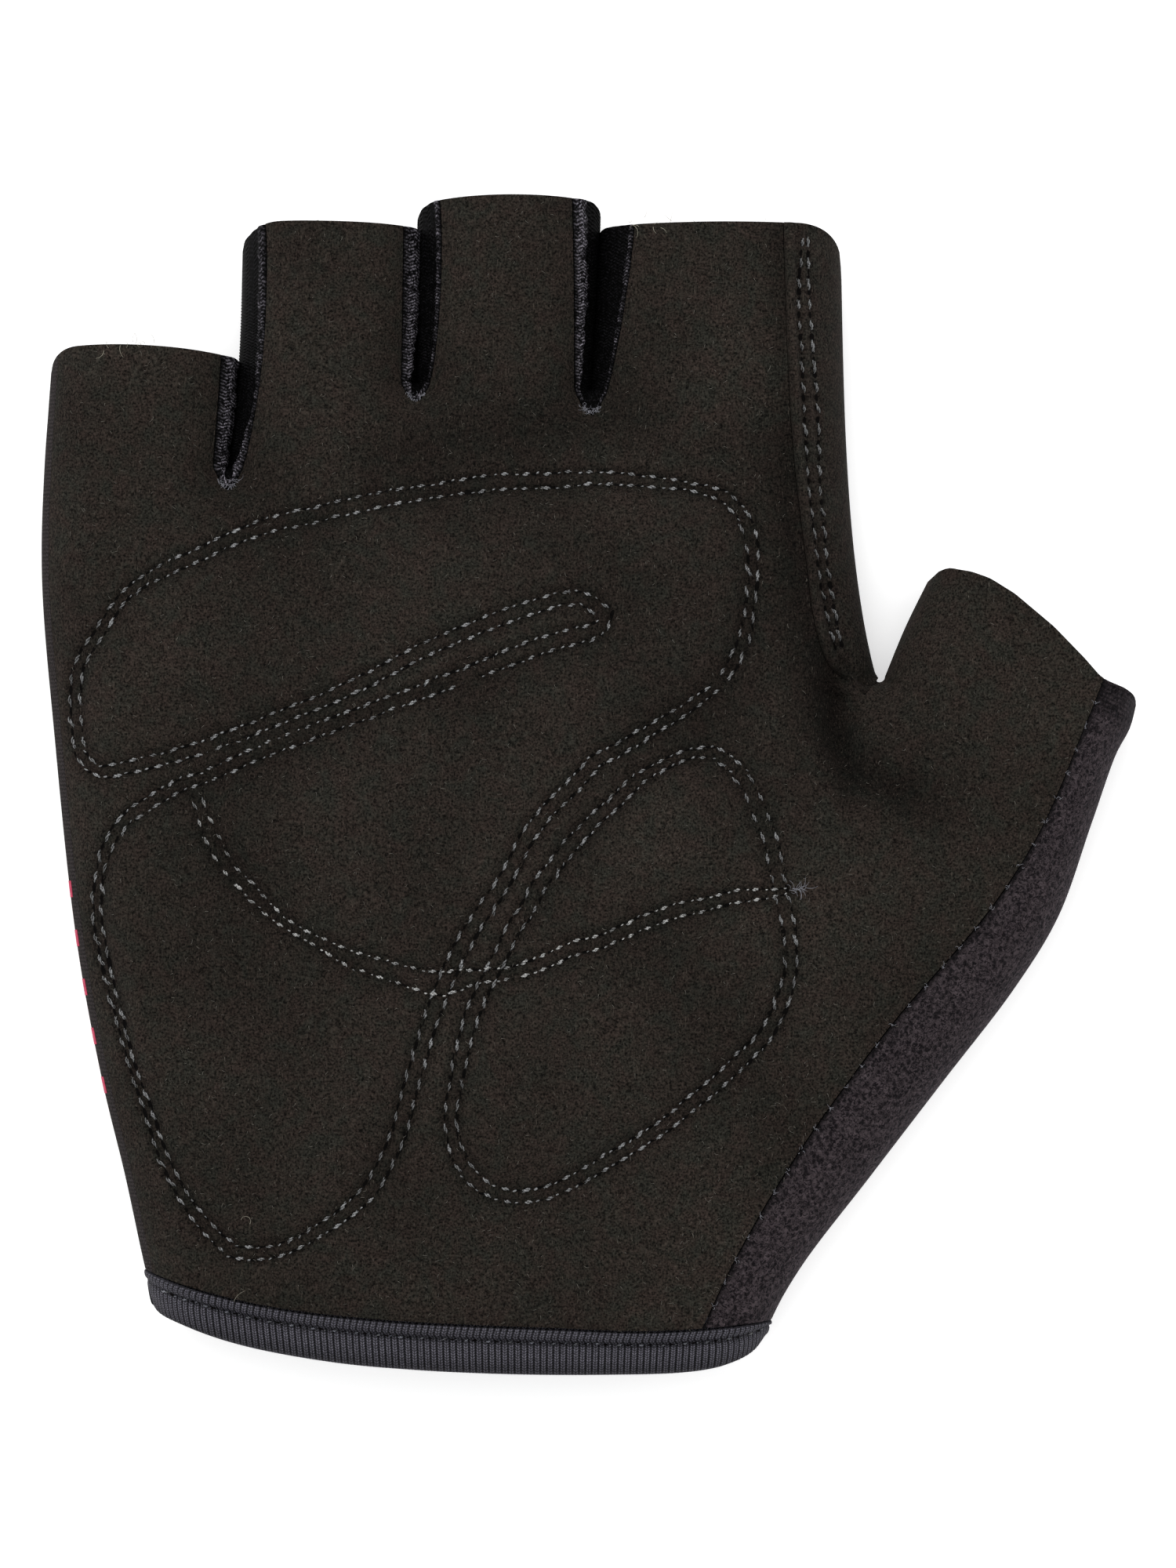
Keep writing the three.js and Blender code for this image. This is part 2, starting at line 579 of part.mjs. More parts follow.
// Suede palm: hand, finger fronts and the front of the thumb
function palmPanel() {
  const leftReach = reachOf(littleWrapAngle + gapAngle);
  const pastStrip = (station) => beside(station, station.seam + seamGap / 2);
  const root = rootLine(beside(crotchStation(crotchTurn.palm), lapReach[0].reach + seamGap), 0);
  const pastLap = (station) => beside(station, lapAt(station) + seamGap / 2);
  const wallOf = (plan) => wallAt(plan, 1, suedeWall);
  const grids = handGrids(
    palmColumns,
    littleRows.map((station) => beside(station, leftReach)),
    [...root, ...indexRows.map(pastLap)],
    leftStations.map((line, number) =>
      line.map((station) => (number === 0 ? beside(station, leftReach) : pastStrip(station)))),
    rightStations.map((line, number) => line.map(number === lastFinger ? pastLap : pastStrip)),
    wallOf,
  );
  const inner = [...root, ...innerStations.map((station) => beside(station, 0))];
  const thumb = inner.map((start, row) =>
    thumbColumns.map((column) => {
      const plan = thumbPoint(start, seamPoints[row], column, 0, seamAlong, thumbRows[row].bow);
      return row === 0 ? { x: plan.x, y: cuffHeight(plan.x) } : plan;
    }));
  return makePanel("palm_panel", [...grids, thumb.map((row) => row.map(wallOf))], suede);
}

// Suede strip down the outside of the index finger, its front edge folded and lapped over the palm
function indexSidePanel() {
  const first = crotchStation(crotchTurn.sidePanel);
  const stations = [first, ...indexRows, ...rightStations[lastFinger].slice(1)];
  const grid = stations.map((station, row) => {
    const hem = row === stations.length - 1 ? hems[lastFinger] : null;
    const reach = (row === 0 ? lapReach[0].reach : lapAt(station)) - seamGap / 2;
    const front = lapColumns.map((share) =>
      wallAt(beside(station, reach * share, hem), 1, suedeWall, lapLift * share ** 3));
    const back = [0, sidePanelBackAngle / 2, sidePanelBackAngle - gapAngle].map((angle) =>
      wallAt(beside(station, reachOf(angle), hem), -1, suedeWall));
    return [...front, ...back];
  });
  return makePanel("index_side_panel", [grid], suede);
}

// Knitted back of the hand and fingers, brought round the little finger's edge
function backPanel() {
  const wrapReach = reachOf(backWrapAngle);
  const gapReach = stripBackReach + seamGap / 2;
  const sideReach = reachOf(sidePanelBackAngle + gapAngle);
  const wallOf = (plan) => wallAt(plan, -1, knitWall);
  const root = rootLine(beside(crotchStation(crotchTurn.back), sideReach + seamGap), -seamGap / 2);
  const grids = handGrids(
    backColumns,
    littleRows.map((station) => beside(station, wrapReach)),
    [...root, ...indexRows.map((station) => beside(station, sideReach))],
    leftStations.map((line, number) =>
      line.map((station) => beside(station, number === 0 ? wrapReach : gapReach))),
    rightStations.map((line, number) =>
      line.map((station) => beside(station, number === lastFinger ? sideReach : gapReach))),
    wallOf,
  );
  const stations = [...littleRows, ...leftStations[0].slice(1)];
  const wrap = stations.map((station, row) => {
    const hem = row === 0 ? cuffHeight : row === stations.length - 1 ? hems[0] : null;
    const front = wallAt(beside(station, reachOf(littleWrapAngle - gapAngle), hem), 1, knitWall);
    const back = [0, backWrapAngle / 2, backWrapAngle].map((angle) =>
      wallOf(beside(station, reachOf(angle), hem)));
    return [front, ...back];
  });
  return makePanel("back_panel", [wrap, ...grids], backKnit);
}

// Brushed knit back of the thumb, brought round its outer edge to the seam on the palm side
function thumbBackPanel() {
  const end = beside(crotchStation(crotchTurn.palm), reachOf(sidePanelBackAngle) + seamGap);
  const pastCrotchEdge = innerStations.map((station) => beside(station, reachOf(2 * gapAngle)));
  const inner = [...rootLine(end, seamGap / 2), ...pastCrotchEdge];
  const grid = thumbRows.map(({ bow }, row) => {
    const seam = seamPoints[row];
    const up = (seam.y - knitSeam[0].y) / (knitSeam.at(-1).y - knitSeam[0].y);
    const height = mix(cuffEnds.thumb, thumbEnd.outer, up) - knitSeamLag * hump(up);
    const station = stationAtHeight(thumbOuter, height);
    const start = { x: seam.x + seamGap, y: seam.y - seamGap / 2 };
    const atCuff = (plan) => (row === 0 ? { ...plan, y: cuffHeight(plan.x) } : plan);
    const front = thumbFrontColumns.map((share) => {
      const plan = thumbPoint(start, { x: station.x, y: station.y }, share, seamAlong, 1, bow);
      return wallAt(atCuff(plan), 1, knitWall);
    });
    const round = quarterTurns.map((angle) => {
      const plan = beside(station, reachOf(angle));
      const out = bow * hemOut(1 - reachOf(angle) / chordLength);
      return atCuff({ ...plan, x: plan.x + chordOut.x * out, y: plan.y + chordOut.y * out });
    });
    const flatEdge = { x: round.at(-1).x, y: round.at(-1).y };
    const flatAlong = 1 - edgeRadius / chordLength;
    const under = thumbUnderColumns.map((share) =>
      atCuff(thumbPoint(flatEdge, inner[row], share, flatAlong, 0, bow)));
    return [...front, ...[...round, ...under].map((plan) => wallAt(plan, -1, knitWall))];
  });
  return makePanel("thumb_back_panel", [grid], thumbKnit);
}

// Stretch strip that lines a finger gap: down one finger, round the foot of the V, up the next
function fourchette(number, name) {
  const down = rightStations[number].slice(1).toReversed();
  const stations = [...down, ...leftStations[number + 1]];
  const last = stations.length - 1;
  const grid = stations.map((station, row) => {
    const hem = row === 0 ? hems[number] : row === last ? hems[number + 1] : null;
    const wallOf = (side, seam) => (share) =>
      wallAt(beside(station, (seam - seamGap / 2) * share, hem), side, lycraWall);
    const front = stripColumns.slice(1).toReversed().map(wallOf(1, station.seam));
    return [...front, ...stripColumns.map(wallOf(-1, stripBackReach))];
  });
  return makePanel(name, [grid], lycra);
}

// Elastic binding: its section carried right round the wrist opening
function cuffBinding() {
  const points = [];
  const shares = [];
  for (let column = 0; column <= cuffColumns; column += 1) {
    shares.push((1 - Math.cos((Math.PI * column) / cuffColumns)) / 2);
  }
  const loop = [
    ...shares.map((share) => ({ share, side: 1 })),
    ...shares.slice(1, -1).toReversed().map((share) => ({ share, side: -1 })),
  ];
  for (const { share, side } of loop) {
    for (const { down, out } of bindingSection) {
      const left = stationAtHeight(little, mix(cuffEnds.little - seamGap, cuffLower[0].y, down));
      const right = stationAtHeight(thumbOuter, mix(cuffEnds.thumb - seamGap, cuffLower.at(-1).y, down));
      const x = mix(left.x, right.x, share);
      const plan = { x, y: mix(cuffHeight(x) - seamGap, lookUp(cuffLower, "x", "y", x), down) };
      const rim = share === 0 ? left : share === 1 ? right : null;
      const near = rim ? { distance: 0, nx: rim.nx, ny: rim.ny } : nearestEdge(plan.x, plan.y);
      const flat = mix(bindingRimShare, 1, clamp01(near.distance / edgeRadius));
      points.push(surfacePoint(plan, near, side, out > 0 ? out * flat : out));
    }
  }
  const around = bindingSection.length;
  const triangles = [];
  for (let i = 0; i < loop.length; i += 1) {
    for (let j = 0; j < around; j += 1) {
      const a = i * around + j;
      const b = i * around + ((j + 1) % around);
      const c = ((i + 1) % loop.length) * around + ((j + 1) % around);
      const d = ((i + 1) % loop.length) * around + j;
      triangles.push(a, b, c, a, c, d);
    }
  }
  return makeMesh("cuff_binding", points, triangles, elastic.colour, elastic.roughness);
}

// Foam island under the suede, thinner towards its rim
function foamPad(name, { middle, outline }) {
  const rim = curveThrough(outline, true).getSpacedPoints(padColumns);
  const grid = [0, ...padRings].map((ring) =>
    rim.map((edge) => {
      const plan = mixPoint(middle, edge, ring);
      const [, [x, y, z]] = wallAt(plan, 1, suedeWall + padClearance);
      return [[x, y, z], [x, y, z - padThickness * mix(1, padEdgeShare, ring ** 3)]];
    }));
  return makePanel(name, [grid], foam);
}

const glove = new THREE.Group();
glove.add(
  palmPanel(),
  indexSidePanel(),
  backPanel(),
  thumbBackPanel(),
  fourchette(0, "fourchette_little_ring"),
  fourchette(1, "fourchette_ring_middle"),
  fourchette(2, "fourchette_middle_index"),
  cuffBinding(),
  ...Object.entries(pads).map(([name, pad]) => foamPad(name, pad)),
);

glove.position.x = -outlineMiddle;

export default glove;
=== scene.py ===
import math

import bpy
import mathutils
import numpy as np
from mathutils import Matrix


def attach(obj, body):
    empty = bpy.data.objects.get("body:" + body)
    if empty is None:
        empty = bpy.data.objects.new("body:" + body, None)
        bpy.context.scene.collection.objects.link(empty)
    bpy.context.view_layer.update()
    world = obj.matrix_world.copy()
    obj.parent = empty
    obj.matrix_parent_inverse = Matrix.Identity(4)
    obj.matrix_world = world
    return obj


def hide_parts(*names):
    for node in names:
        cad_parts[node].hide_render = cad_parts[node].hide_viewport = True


# A short-finger glove lying on its back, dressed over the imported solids.
# Shapes are worked out in millimetres, in the solids' own plan, and become metres in makeMesh.
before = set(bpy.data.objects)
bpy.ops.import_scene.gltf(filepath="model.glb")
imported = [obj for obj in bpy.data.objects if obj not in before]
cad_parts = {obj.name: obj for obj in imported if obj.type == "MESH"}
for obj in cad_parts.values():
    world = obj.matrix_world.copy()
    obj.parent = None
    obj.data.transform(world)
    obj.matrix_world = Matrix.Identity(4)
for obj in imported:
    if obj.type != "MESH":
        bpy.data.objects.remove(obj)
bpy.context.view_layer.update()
random = np.random.default_rng(11)

glove = {
    "outlineMiddle": 0.4,    # subtracted from X, as in the solids
    "seamHeight": 7.0,       # side edges above the table
    "edgeRadius": 8.0,       # how far in the sheets level out
    "fingerRise": 8.0,       # palm sheet above the side edges
    "reliefFade": 1.6,       # how far in from the side edges the relief sets in
    "palmCrown": 3.2,        # bulge of the whole palm, and how far in it has its full height
    "palmReach": 30.0,
    "cuffCrownShare": 0.25,  # what is left of it at the cuff, and the length over which it comes back
    "cuffCrownStart": -68.2,
    "cuffCrownFade": 34.0,
    "suedeWall": 1.3,        # thickness of each cloth
    "knitWall": 1.0,
    "stripWall": 0.8,
    "allowance": 0.4,        # thickness of what is turned in under a neighbour
    "seamGap": 0.16,
    "littleWrap": 31,        # degrees round the side edge to the seams
    "sidePanelBack": 45,
    "backWrap": 60,
    "turnedSeam": 0.02,      # what the suede and the knit each leave free at the little finger's seam
    "hemEase": 0.2,          # part of a strip's or side panel's length that is fitted to the hem
    "stripRib": 0.38,        # spacing of the ribs
    "cuffRib": 0.82,
}
quality = 1


def clamp01(t):
    # Nothing under 0 or over 1
    return np.clip(t, 0.0, 1.0)


def smooth(t):
    # Eases from 0 to 1: three squares less two cubes
    t = clamp01(t)
    return t * t * (3 - 2 * t)


def mix(a, b, t):
    # Straight from a to b
    return a + (b - a) * t


def hump(t):
    # Parabola with 0 at both ends and 1 halfway
    return 4 * t * (1 - t)


def bell(t):
    # Bell curve: 1 in the middle, about a third at 1 to either side
    return np.exp(-(t**2))


def quarterRound(t):
    # Height of a quarter circle over its foot
    return np.sqrt(1 - (1 - clamp01(t)) ** 2)


def fullRound(t):
    # A corner a little squarer than a quarter circle
    return (1 - (1 - clamp01(t)) ** 2.4) ** (1 / 2.4)


def reachOf(degrees):
    # How far in from the side edge a turn round its quarter circle ends
    return glove["edgeRadius"] * (1 - np.cos(np.radians(degrees)))


# Curves and the glove's side edges


def runOf(line):
    # Length along the plan up to each point
    steps = np.hypot(*np.diff(line[:, :2], axis=0).T)
    return np.concatenate([[0.0], np.cumsum(steps)])


def resample(line, count):
    # The same line at evenly spaced places along its plan
    run = runOf(line)
    at = np.linspace(0, run[-1], count)
    return np.stack([np.interp(at, run, column) for column in line.T], axis=1)


def curveThrough(points, step, closed=False):
    # A cubic from point to point, its slopes weighed by the root of the spacing, then evenly spaced points
    knots = np.array(points, float)
    if closed:
        knots = np.vstack([knots[-1], knots, knots[:2]])
    else:
        knots = np.vstack([2 * knots[0] - knots[1], knots, 2 * knots[-1] - knots[-2]])
    p0, p1, p2, p3 = knots[:-3], knots[1:-2], knots[2:-1], knots[3:]
    pairs = ((p0, p1), (p1, p2), (p2, p3))
    gap = [np.maximum(np.hypot(*(b - a)[:, :2].T), 1e-6)[:, None] ** 0.5 for a, b in pairs]
    m1 = ((p1 - p0) / gap[0] - (p2 - p0) / (gap[0] + gap[1]) + (p2 - p1) / gap[1]) * gap[1]
    m2 = ((p2 - p1) / gap[1] - (p3 - p1) / (gap[1] + gap[2]) + (p3 - p2) / gap[2]) * gap[1]
    t = np.linspace(0, 1, 20, endpoint=False)[None, :, None]
    p1, p2, m1, m2 = (a[:, None, :] for a in (p1, p2, m1, m2))
    curve = (2 * t**3 - 3 * t**2 + 1) * p1 + (t**3 - 2 * t**2 + t) * m1
    curve = curve + (3 * t**2 - 2 * t**3) * p2 + (t**3 - t**2) * m2
    curve = np.vstack([curve.reshape(-1, knots.shape[1]), knots[-2]])
    return resample(curve, max(3, int(round(runOf(curve)[-1] / step)) + 1))


def makeEdge(points, clothSide):
    # A point each millimetre, with the direction into the cloth: to the right of the run for 1, left for -1
    line = curveThrough(points, 1.0)
    run = np.gradient(line, axis=0)
    run /= np.hypot(*run.T)[:, None]
    return np.column_stack([line, clothSide * run[:, 1], -clothSide * run[:, 0]])


def stationAt(edge, height):
    # Where an edge is at a height in the plan, and its direction into the cloth
    found = np.stack([np.interp(height, edge[:, 1], edge[:, k]) for k in range(4)], axis=-1)
    found[..., 2:] /= np.linalg.norm(found[..., 2:], axis=-1, keepdims=True)
    return found


def footStations(centre, radius, degrees):
    # Places round a small circle, and the directions out of it
    turn = np.radians(degrees)
    nx, ny = np.cos(turn), np.sin(turn)
    return np.stack([centre[0] + radius * nx, centre[1] + radius * ny, nx, ny], axis=-1)


def beside(stations, reach):
    # Moved into the cloth by a reach
    reach = np.asarray(reach)
    return stations[..., :2] + stations[..., 2:] * reach[..., None]


outline = {
    "little": [(-52.6, -76), (-56.1, -62), (-58.7, -50), (-61.6, -38), (-64.9, -20), (-67.7, 6),
               (-69.3, 26), (-69, 40), (-67.6, 58)],
    "index": [(36.9, 13.6), (35.5, 20.5), (34.2, 29.9), (33.2, 43.9), (32.4, 76)],
    "thumbInner": [(38.3, 13.6), (40.9, 19.9), (44.4, 27)],
    "thumbOuter": [(21.6, -76), (23.6, -69), (27.3, -62.2), (36.5, -50.1), (45.7, -38.1), (54.9, -26.1),
                   (60.4, -17.1), (64.7, -5.1), (67.9, 3.9), (69.5, 6.9), (70.4, 10.6)],
    "footRadius": 0.2,
    "crotchRadius": 0.7,
    "pointTurn": 26,         # degrees to either side over which the point of a V fades
}
# Each gap: foot of the V, the edges on both sides of it, how far in the strip's seams lie at the hem and the
# foot, how far the right one swells between them, and how far the V's point reaches down past the foot
gaps = [
    {"foot": (-45.3, 40.6), "left": [(-44.7, 50), (-44.1, 58)], "right": [(-43.8, 54), (-43.1, 76)],
     "leftReach": 1.7, "rightReach": 2.7, "footReach": 1.7, "swell": 0.75, "point": 1.4},
    {"foot": (-21.5, 51.2), "left": [(-21.5, 63), (-21.3, 76)], "right": [(-21.1, 63), (-20.9, 80)],
     "leftReach": 1.6, "rightReach": 2.5, "footReach": 1.6, "swell": 0.7, "point": 0.9},
    {"foot": (0.8, 50.4), "left": [(1.3, 63), (1.9, 80)], "right": [(1.8, 63), (2.6, 76)],
     "leftReach": 3.2, "rightReach": 4.0, "footReach": 1.9, "swell": 0.4, "point": 1.5},
]
stripBackReach = 2.0

little = makeEdge(outline["little"], 1)
index = makeEdge(outline["index"], -1)
thumbInner = makeEdge(outline["thumbInner"], 1)
thumbOuter = makeEdge(outline["thumbOuter"], -1)
crotch = np.mean([outline["index"][0], outline["thumbInner"][0]], axis=0)
footTurns = np.linspace(-180, 0, 19)
crotchArc = footStations(crotch, outline["crotchRadius"], footTurns)
for gap in gaps:
    foot, radius = gap["foot"], outline["footRadius"]
    gap["leftEdge"] = makeEdge([(foot[0] - radius, foot[1]), *gap["left"]], -1)
    gap["rightEdge"] = makeEdge([(foot[0] + radius, foot[1]), *gap["right"]], 1)
    gap["arc"] = footStations(foot, radius, footTurns)
    gap["edges"] = [gap["leftEdge"], gap["arc"], gap["rightEdge"]]
thumbEdges = [index, crotchArc, thumbInner, thumbOuter]
allEdges = [little, *thumbEdges, *(edge for gap in gaps for edge in gap["edges"])]


def nearestEdge(plan, edges):
    # Distance to the nearest side edge, and the direction away from it, by dropping a foot on every segment
    starts = np.concatenate([edge[:-1] for edge in edges])
    ends = np.concatenate([edge[1:] for edge in edges])
    run = ends[:, :2] - starts[:, :2]
    square = (run**2).sum(1)
    flat = plan.reshape(-1, 2)
    found = np.empty((len(flat), 3))
    for first in range(0, len(flat), 3000):
        part = flat[first:first + 3000]
        dx = part[:, :1] - starts[:, 0]
        dy = part[:, 1:] - starts[:, 1]
        t = clamp01((dx * run[:, 0] + dy * run[:, 1]) / square)
        away = (dx - t * run[:, 0]) ** 2 + (dy - t * run[:, 1]) ** 2
        best = away.argmin(1)
        rows = np.arange(len(part))
        share = t[rows, best][:, None]
        normal = starts[best, 2:] * (1 - share) + ends[best, 2:] * share
        normal /= np.linalg.norm(normal, axis=1, keepdims=True)
        found[first:first + 3000] = np.column_stack([np.sqrt(away[rows, best]), normal])
    return found.reshape(plan.shape[:-1] + (3,))


# Fields over the plan: relief of the palm, and how far each place is from a stitch row
board = {"x": -76.0, "y": -83.0, "pitch": 0.5, "columns": 304, "rows": 334}
boardX = board["x"] + board["pitch"] * np.arange(board["columns"])
boardY = board["y"] + board["pitch"] * np.arange(board["rows"])
boardPlan = np.stack(np.meshgrid(boardX, boardY), axis=-1)


def blur(values, sigma):
    # Bell-shaped blur of sigma millimetres, done on the field's frequencies
    fy = np.fft.fftfreq(values.shape[0])[:, None]
    fx = np.fft.rfftfreq(values.shape[1])[None, :]
    fade = np.exp(-2 * (math.pi * sigma / board["pitch"]) ** 2 * (fx**2 + fy**2))
    return np.fft.irfft2(np.fft.rfft2(values) * fade, values.shape)


def softNoise(sigma):
    # Random values blurred to patches, scaled to a spread of one
    values = blur(random.standard_normal(boardPlan.shape[:2]), sigma)
    return values / values.std()


def sampleBoard(values, plan):
    # Value of a field between its four nearest cells
    u = np.clip((plan[..., 0] - board["x"]) / board["pitch"], 0, board["columns"] - 1.001)
    v = np.clip((plan[..., 1] - board["y"]) / board["pitch"], 0, board["rows"] - 1.001)
    i, j = u.astype(int), v.astype(int)
    u, v = u - i, v - j
    low = values[j, i] * (1 - u) + values[j, i + 1] * u
    high = values[j + 1, i] * (1 - u) + values[j + 1, i + 1] * u
    return low * (1 - v) + high * v


# Double rows of stitches on the palm: a line between the two rows, as x, y and the rows' spacing
stitching = {
    "pitch": 2.68,
    "crossPitch": 2.4,
    "routes": {
        "padLoop": (True, [
            (-48.4, 0.7, 1.5), (-41.6, 3.7, 1.6), (-35.4, 6.1, 1.7), (-29, 8.5, 1.7), (-21.4, 11.3, 1.8),
            (-14.1, 14.1, 1.8), (-7.4, 16.7, 2), (-2.1, 18.4, 2), (1.2, 19.3, 1.8), (2.3, 20.9, 1.8),
            (1.2, 22.5, 1.8), (-1.8, 23.4, 1.6), (-7.4, 22, 1.7), (-14.1, 19.5, 1.7), (-20.6, 16.7, 1.7),
            (-25.1, 14.3, 1.7), (-31.6, 11.1, 1.7), (-38.1, 8.5, 1.6), (-44.6, 5.9, 1.6),
            (-51.1, 3.7, 1.5), (-57.1, 2.2, 1.5), (-61.4, 1.6, 1.4), (-63.6, 3.3, 1.4), (-64.4, 6.9, 1.4),
            (-64.6, 11.7, 1.3), (-64, 15.2, 1.3), (-61.4, 19.2, 1.2), (-58.1, 23.9, 1.2),
            (-53.8, 26.7, 1.5), (-49.4, 28.7, 1.6), (-44.8, 30.9, 1.6), (-39.9, 32.7, 1.8),
            (-33.3, 34.2, 1.9), (-26.9, 35.7, 1.9), (-19.1, 37, 1.7), (-11.9, 38, 1.9), (-5.3, 38.3, 1.8),
            (1.4, 38.6, 1.6), (8.1, 38.2, 1.4), (13.4, 37.5, 1), (17.5, 36.2, 1.3), (20, 33.8, 1.5),
            (21.1, 30.7, 1.4), (21.3, 26.6, 1.3), (20.9, 22.6, 1.1), (20.3, 18.7, 1.4), (19, 15.7, 1.3),
            (17.5, 13.2, 1.1), (14.9, 10.9, 1.2), (12, 8.9, 1.3), (8.1, 6.6, 1.4), (4.5, 4.4, 1.6),
            (1.9, 3.1, 1.7), (-0.6, 0.6, 1.8), (-3.8, -2.6, 1.8), (-7.1, -6.6, 1.8), (-9.1, -10.5, 1.7),
            (-11.3, -14.1, 1.8), (-13.4, -17.1, 1.8), (-15.6, -20.8, 1.9), (-17.6, -25.1, 1.9),
            (-19.4, -29.8, 1.8), (-20.8, -34.4, 1.8), (-22.4, -39.8, 1.8), (-23.4, -43.8, 1.8),
            (-25.1, -47.8, 1.8), (-27.3, -51.5, 1.9), (-30.6, -54.6, 1.6), (-34.1, -56.9, 1.5),
            (-37.3, -58.6, 1.5), (-41.1, -59.6, 1.5), (-44.3, -59.3, 1.6), (-47.3, -56.9, 1.5),
            (-50.4, -53, 1.3), (-53.2, -47.8, 1.1), (-55.2, -42, 1), (-57.4, -35.8, 0.8),
            (-59, -29.8, 0.9), (-60.6, -23.8, 1), (-61.8, -17.2, 1.1), (-61.6, -12.2, 1.1),
            (-60.5, -8.1, 1.2), (-58.4, -4.9, 1.4), (-54.6, -2.1, 1.6), (-51.7, -0.5, 1.5),
        ]),
        "crossLine": (False, [
            (-49.1, -1.5, 1.2), (-48.4, -3.9, 1.4), (-47.3, -6.8, 1.6), (-46, -9.2, 1.6),
            (-44.3, -11.5, 1.6), (-42.6, -13.3, 1.6), (-41.3, -14.7, 1.5), (-39.4, -16.5, 1.3),
            (-37, -18.2, 1.2), (-34.2, -19.8, 1.3), (-32.3, -20.8, 1.5), (-29.3, -22.3, 1.9),
            (-25.9, -23.4, 2.2), (-21.9, -24.6, 2.5), (-18.6, -25.3, 3), (-14.1, -24.5, 1.8),
            (-9.6, -24, 1.5), (-6.1, -23, 1.6), (-1.6, -21, 1.7), (2.4, -19.9, 1.7), (6.9, -17.8, 1.7),
            (11.4, -16.2, 1.7), (15.4, -15.3, 1.6), (18.9, -14.4, 1.5), (22.4, -14.1, 1.2),
            (25.2, -13.7, 0.8),
        ]),
        "thumbPad": (True, [
            (13.4, 3.7, 1.2), (16.4, 3.7, 1.4), (19, 1.9, 1.7), (20.5, -0.2, 1.7), (21.6, -2.4, 1.7),
            (22.5, -4.7, 1.7), (23.3, -6.7, 1.7), (23.9, -9.3, 1.7), (24.4, -11.9, 1.7),
            (25.1, -15.1, 1.7), (25.7, -17.8, 1.6), (26, -20.8, 1.5), (26, -23.6, 1.5), (25.5, -26, 1.6),
            (24.5, -28.7, 1.7), (22.9, -31.7, 1.7), (20.7, -34.1, 1.8), (18.5, -36.2, 1.8),
            (16.2, -38.4, 1.8), (13.7, -40.3, 1.7), (10.9, -42.7, 1.7), (7.6, -44.9, 1.6),
            (4.4, -46.9, 1.7), (1.4, -48.7, 1.7), (-1.4, -50.3, 1.5), (-4.6, -51.7, 1.6),
            (-8.1, -52.3, 1.6), (-11.4, -51.8, 1.6), (-14, -50.1, 1.8), (-15.9, -47.3, 1.7),
            (-16.7, -44.6, 1.6), (-16.9, -41.6, 1.6), (-16.4, -38.6, 1.6), (-15.9, -35.8, 1.6),
            (-15.3, -33.1, 1.7), (-14.5, -30.1, 1.8), (-13.3, -27.1, 1.7), (-11.6, -23.6, 1.8),
            (-10.4, -21.3, 1.8), (-9.1, -18.6, 1.8), (-7.4, -16.1, 1.9), (-5.6, -12.7, 1.8),
            (-4, -10.7, 1.8), (-2.4, -8.6, 1.8), (-0.5, -6.5, 1.8), (1.8, -4.1, 1.6), (3.5, -2.7, 1.6),
            (5.1, -1.1, 1.6), (7, 0.6, 1.4), (9.9, 2.3, 1.2),
        ]),
    },
    "indexSide": [
        (27.9, 69.9, 0.5), (27.7, 66.4, 1), (27.7, 60.4, 1.4), (28.1, 54.3, 1.5), (28.5, 47.9, 1.7),
        (28.9, 39.4, 1.5), (29.7, 29.9, 1.3), (30.3, 25.4, 1.2), (31.1, 21.4, 1), (32, 17.4, 0.8),
    ],
}


def doubleRow(points, closed=False):
    # Both rows of a route: its line moved to either side by half the spacing
    line = curveThrough(points, 0.25, closed)
    run = np.gradient(line[:, :2], axis=0)
    run /= np.hypot(*run.T)[:, None]
    side = np.column_stack([-run[:, 1], run[:, 0]]) * line[:, 2:] / 2
    return [line[:, :2] + side, line[:, :2] - side]


rowsOf = {name: doubleRow(points, closed) for name, (closed, points) in stitching["routes"].items()}
palmRows = [row for rows in rowsOf.values() for row in rows]
sideRows = doubleRow(stitching["indexSide"])


def nearestSample(samples):
    # Jump flood: each cell takes over its neighbours' nearest sample in ever shorter steps
    shape = boardPlan.shape[:2]
    owner = np.full(shape, -1)
    i = np.clip(np.rint((samples[:, 0] - board["x"]) / board["pitch"]).astype(int), 0, shape[1] - 1)
    j = np.clip(np.rint((samples[:, 1] - board["y"]) / board["pitch"]).astype(int), 0, shape[0] - 1)
    owner[j, i] = np.arange(len(samples))

    def awayFrom(ids):
        away = ((boardPlan - samples[ids]) ** 2).sum(-1)
        return np.where(ids < 0, np.inf, away)

    best = awayFrom(owner)
    for step in (128, 64, 32, 16, 8, 4, 2, 1, 1):
        for dy, dx in ((-1, -1), (-1, 0), (-1, 1), (0, -1), (0, 1), (1, -1), (1, 0), (1, 1)):
            other = np.roll(owner, (dy * step, dx * step), (0, 1))
            away = awayFrom(other)
            nearer = away < best
            owner = np.where(nearer, other, owner)
            best = np.where(nearer, away, best)
    return owner, np.sqrt(best)


rowSamples = np.concatenate(palmRows)
rowRuns = np.concatenate([runOf(row) for row in palmRows])
rowOwner, rowDistance = nearestSample(rowSamples)
rowRun = rowRuns[rowOwner]

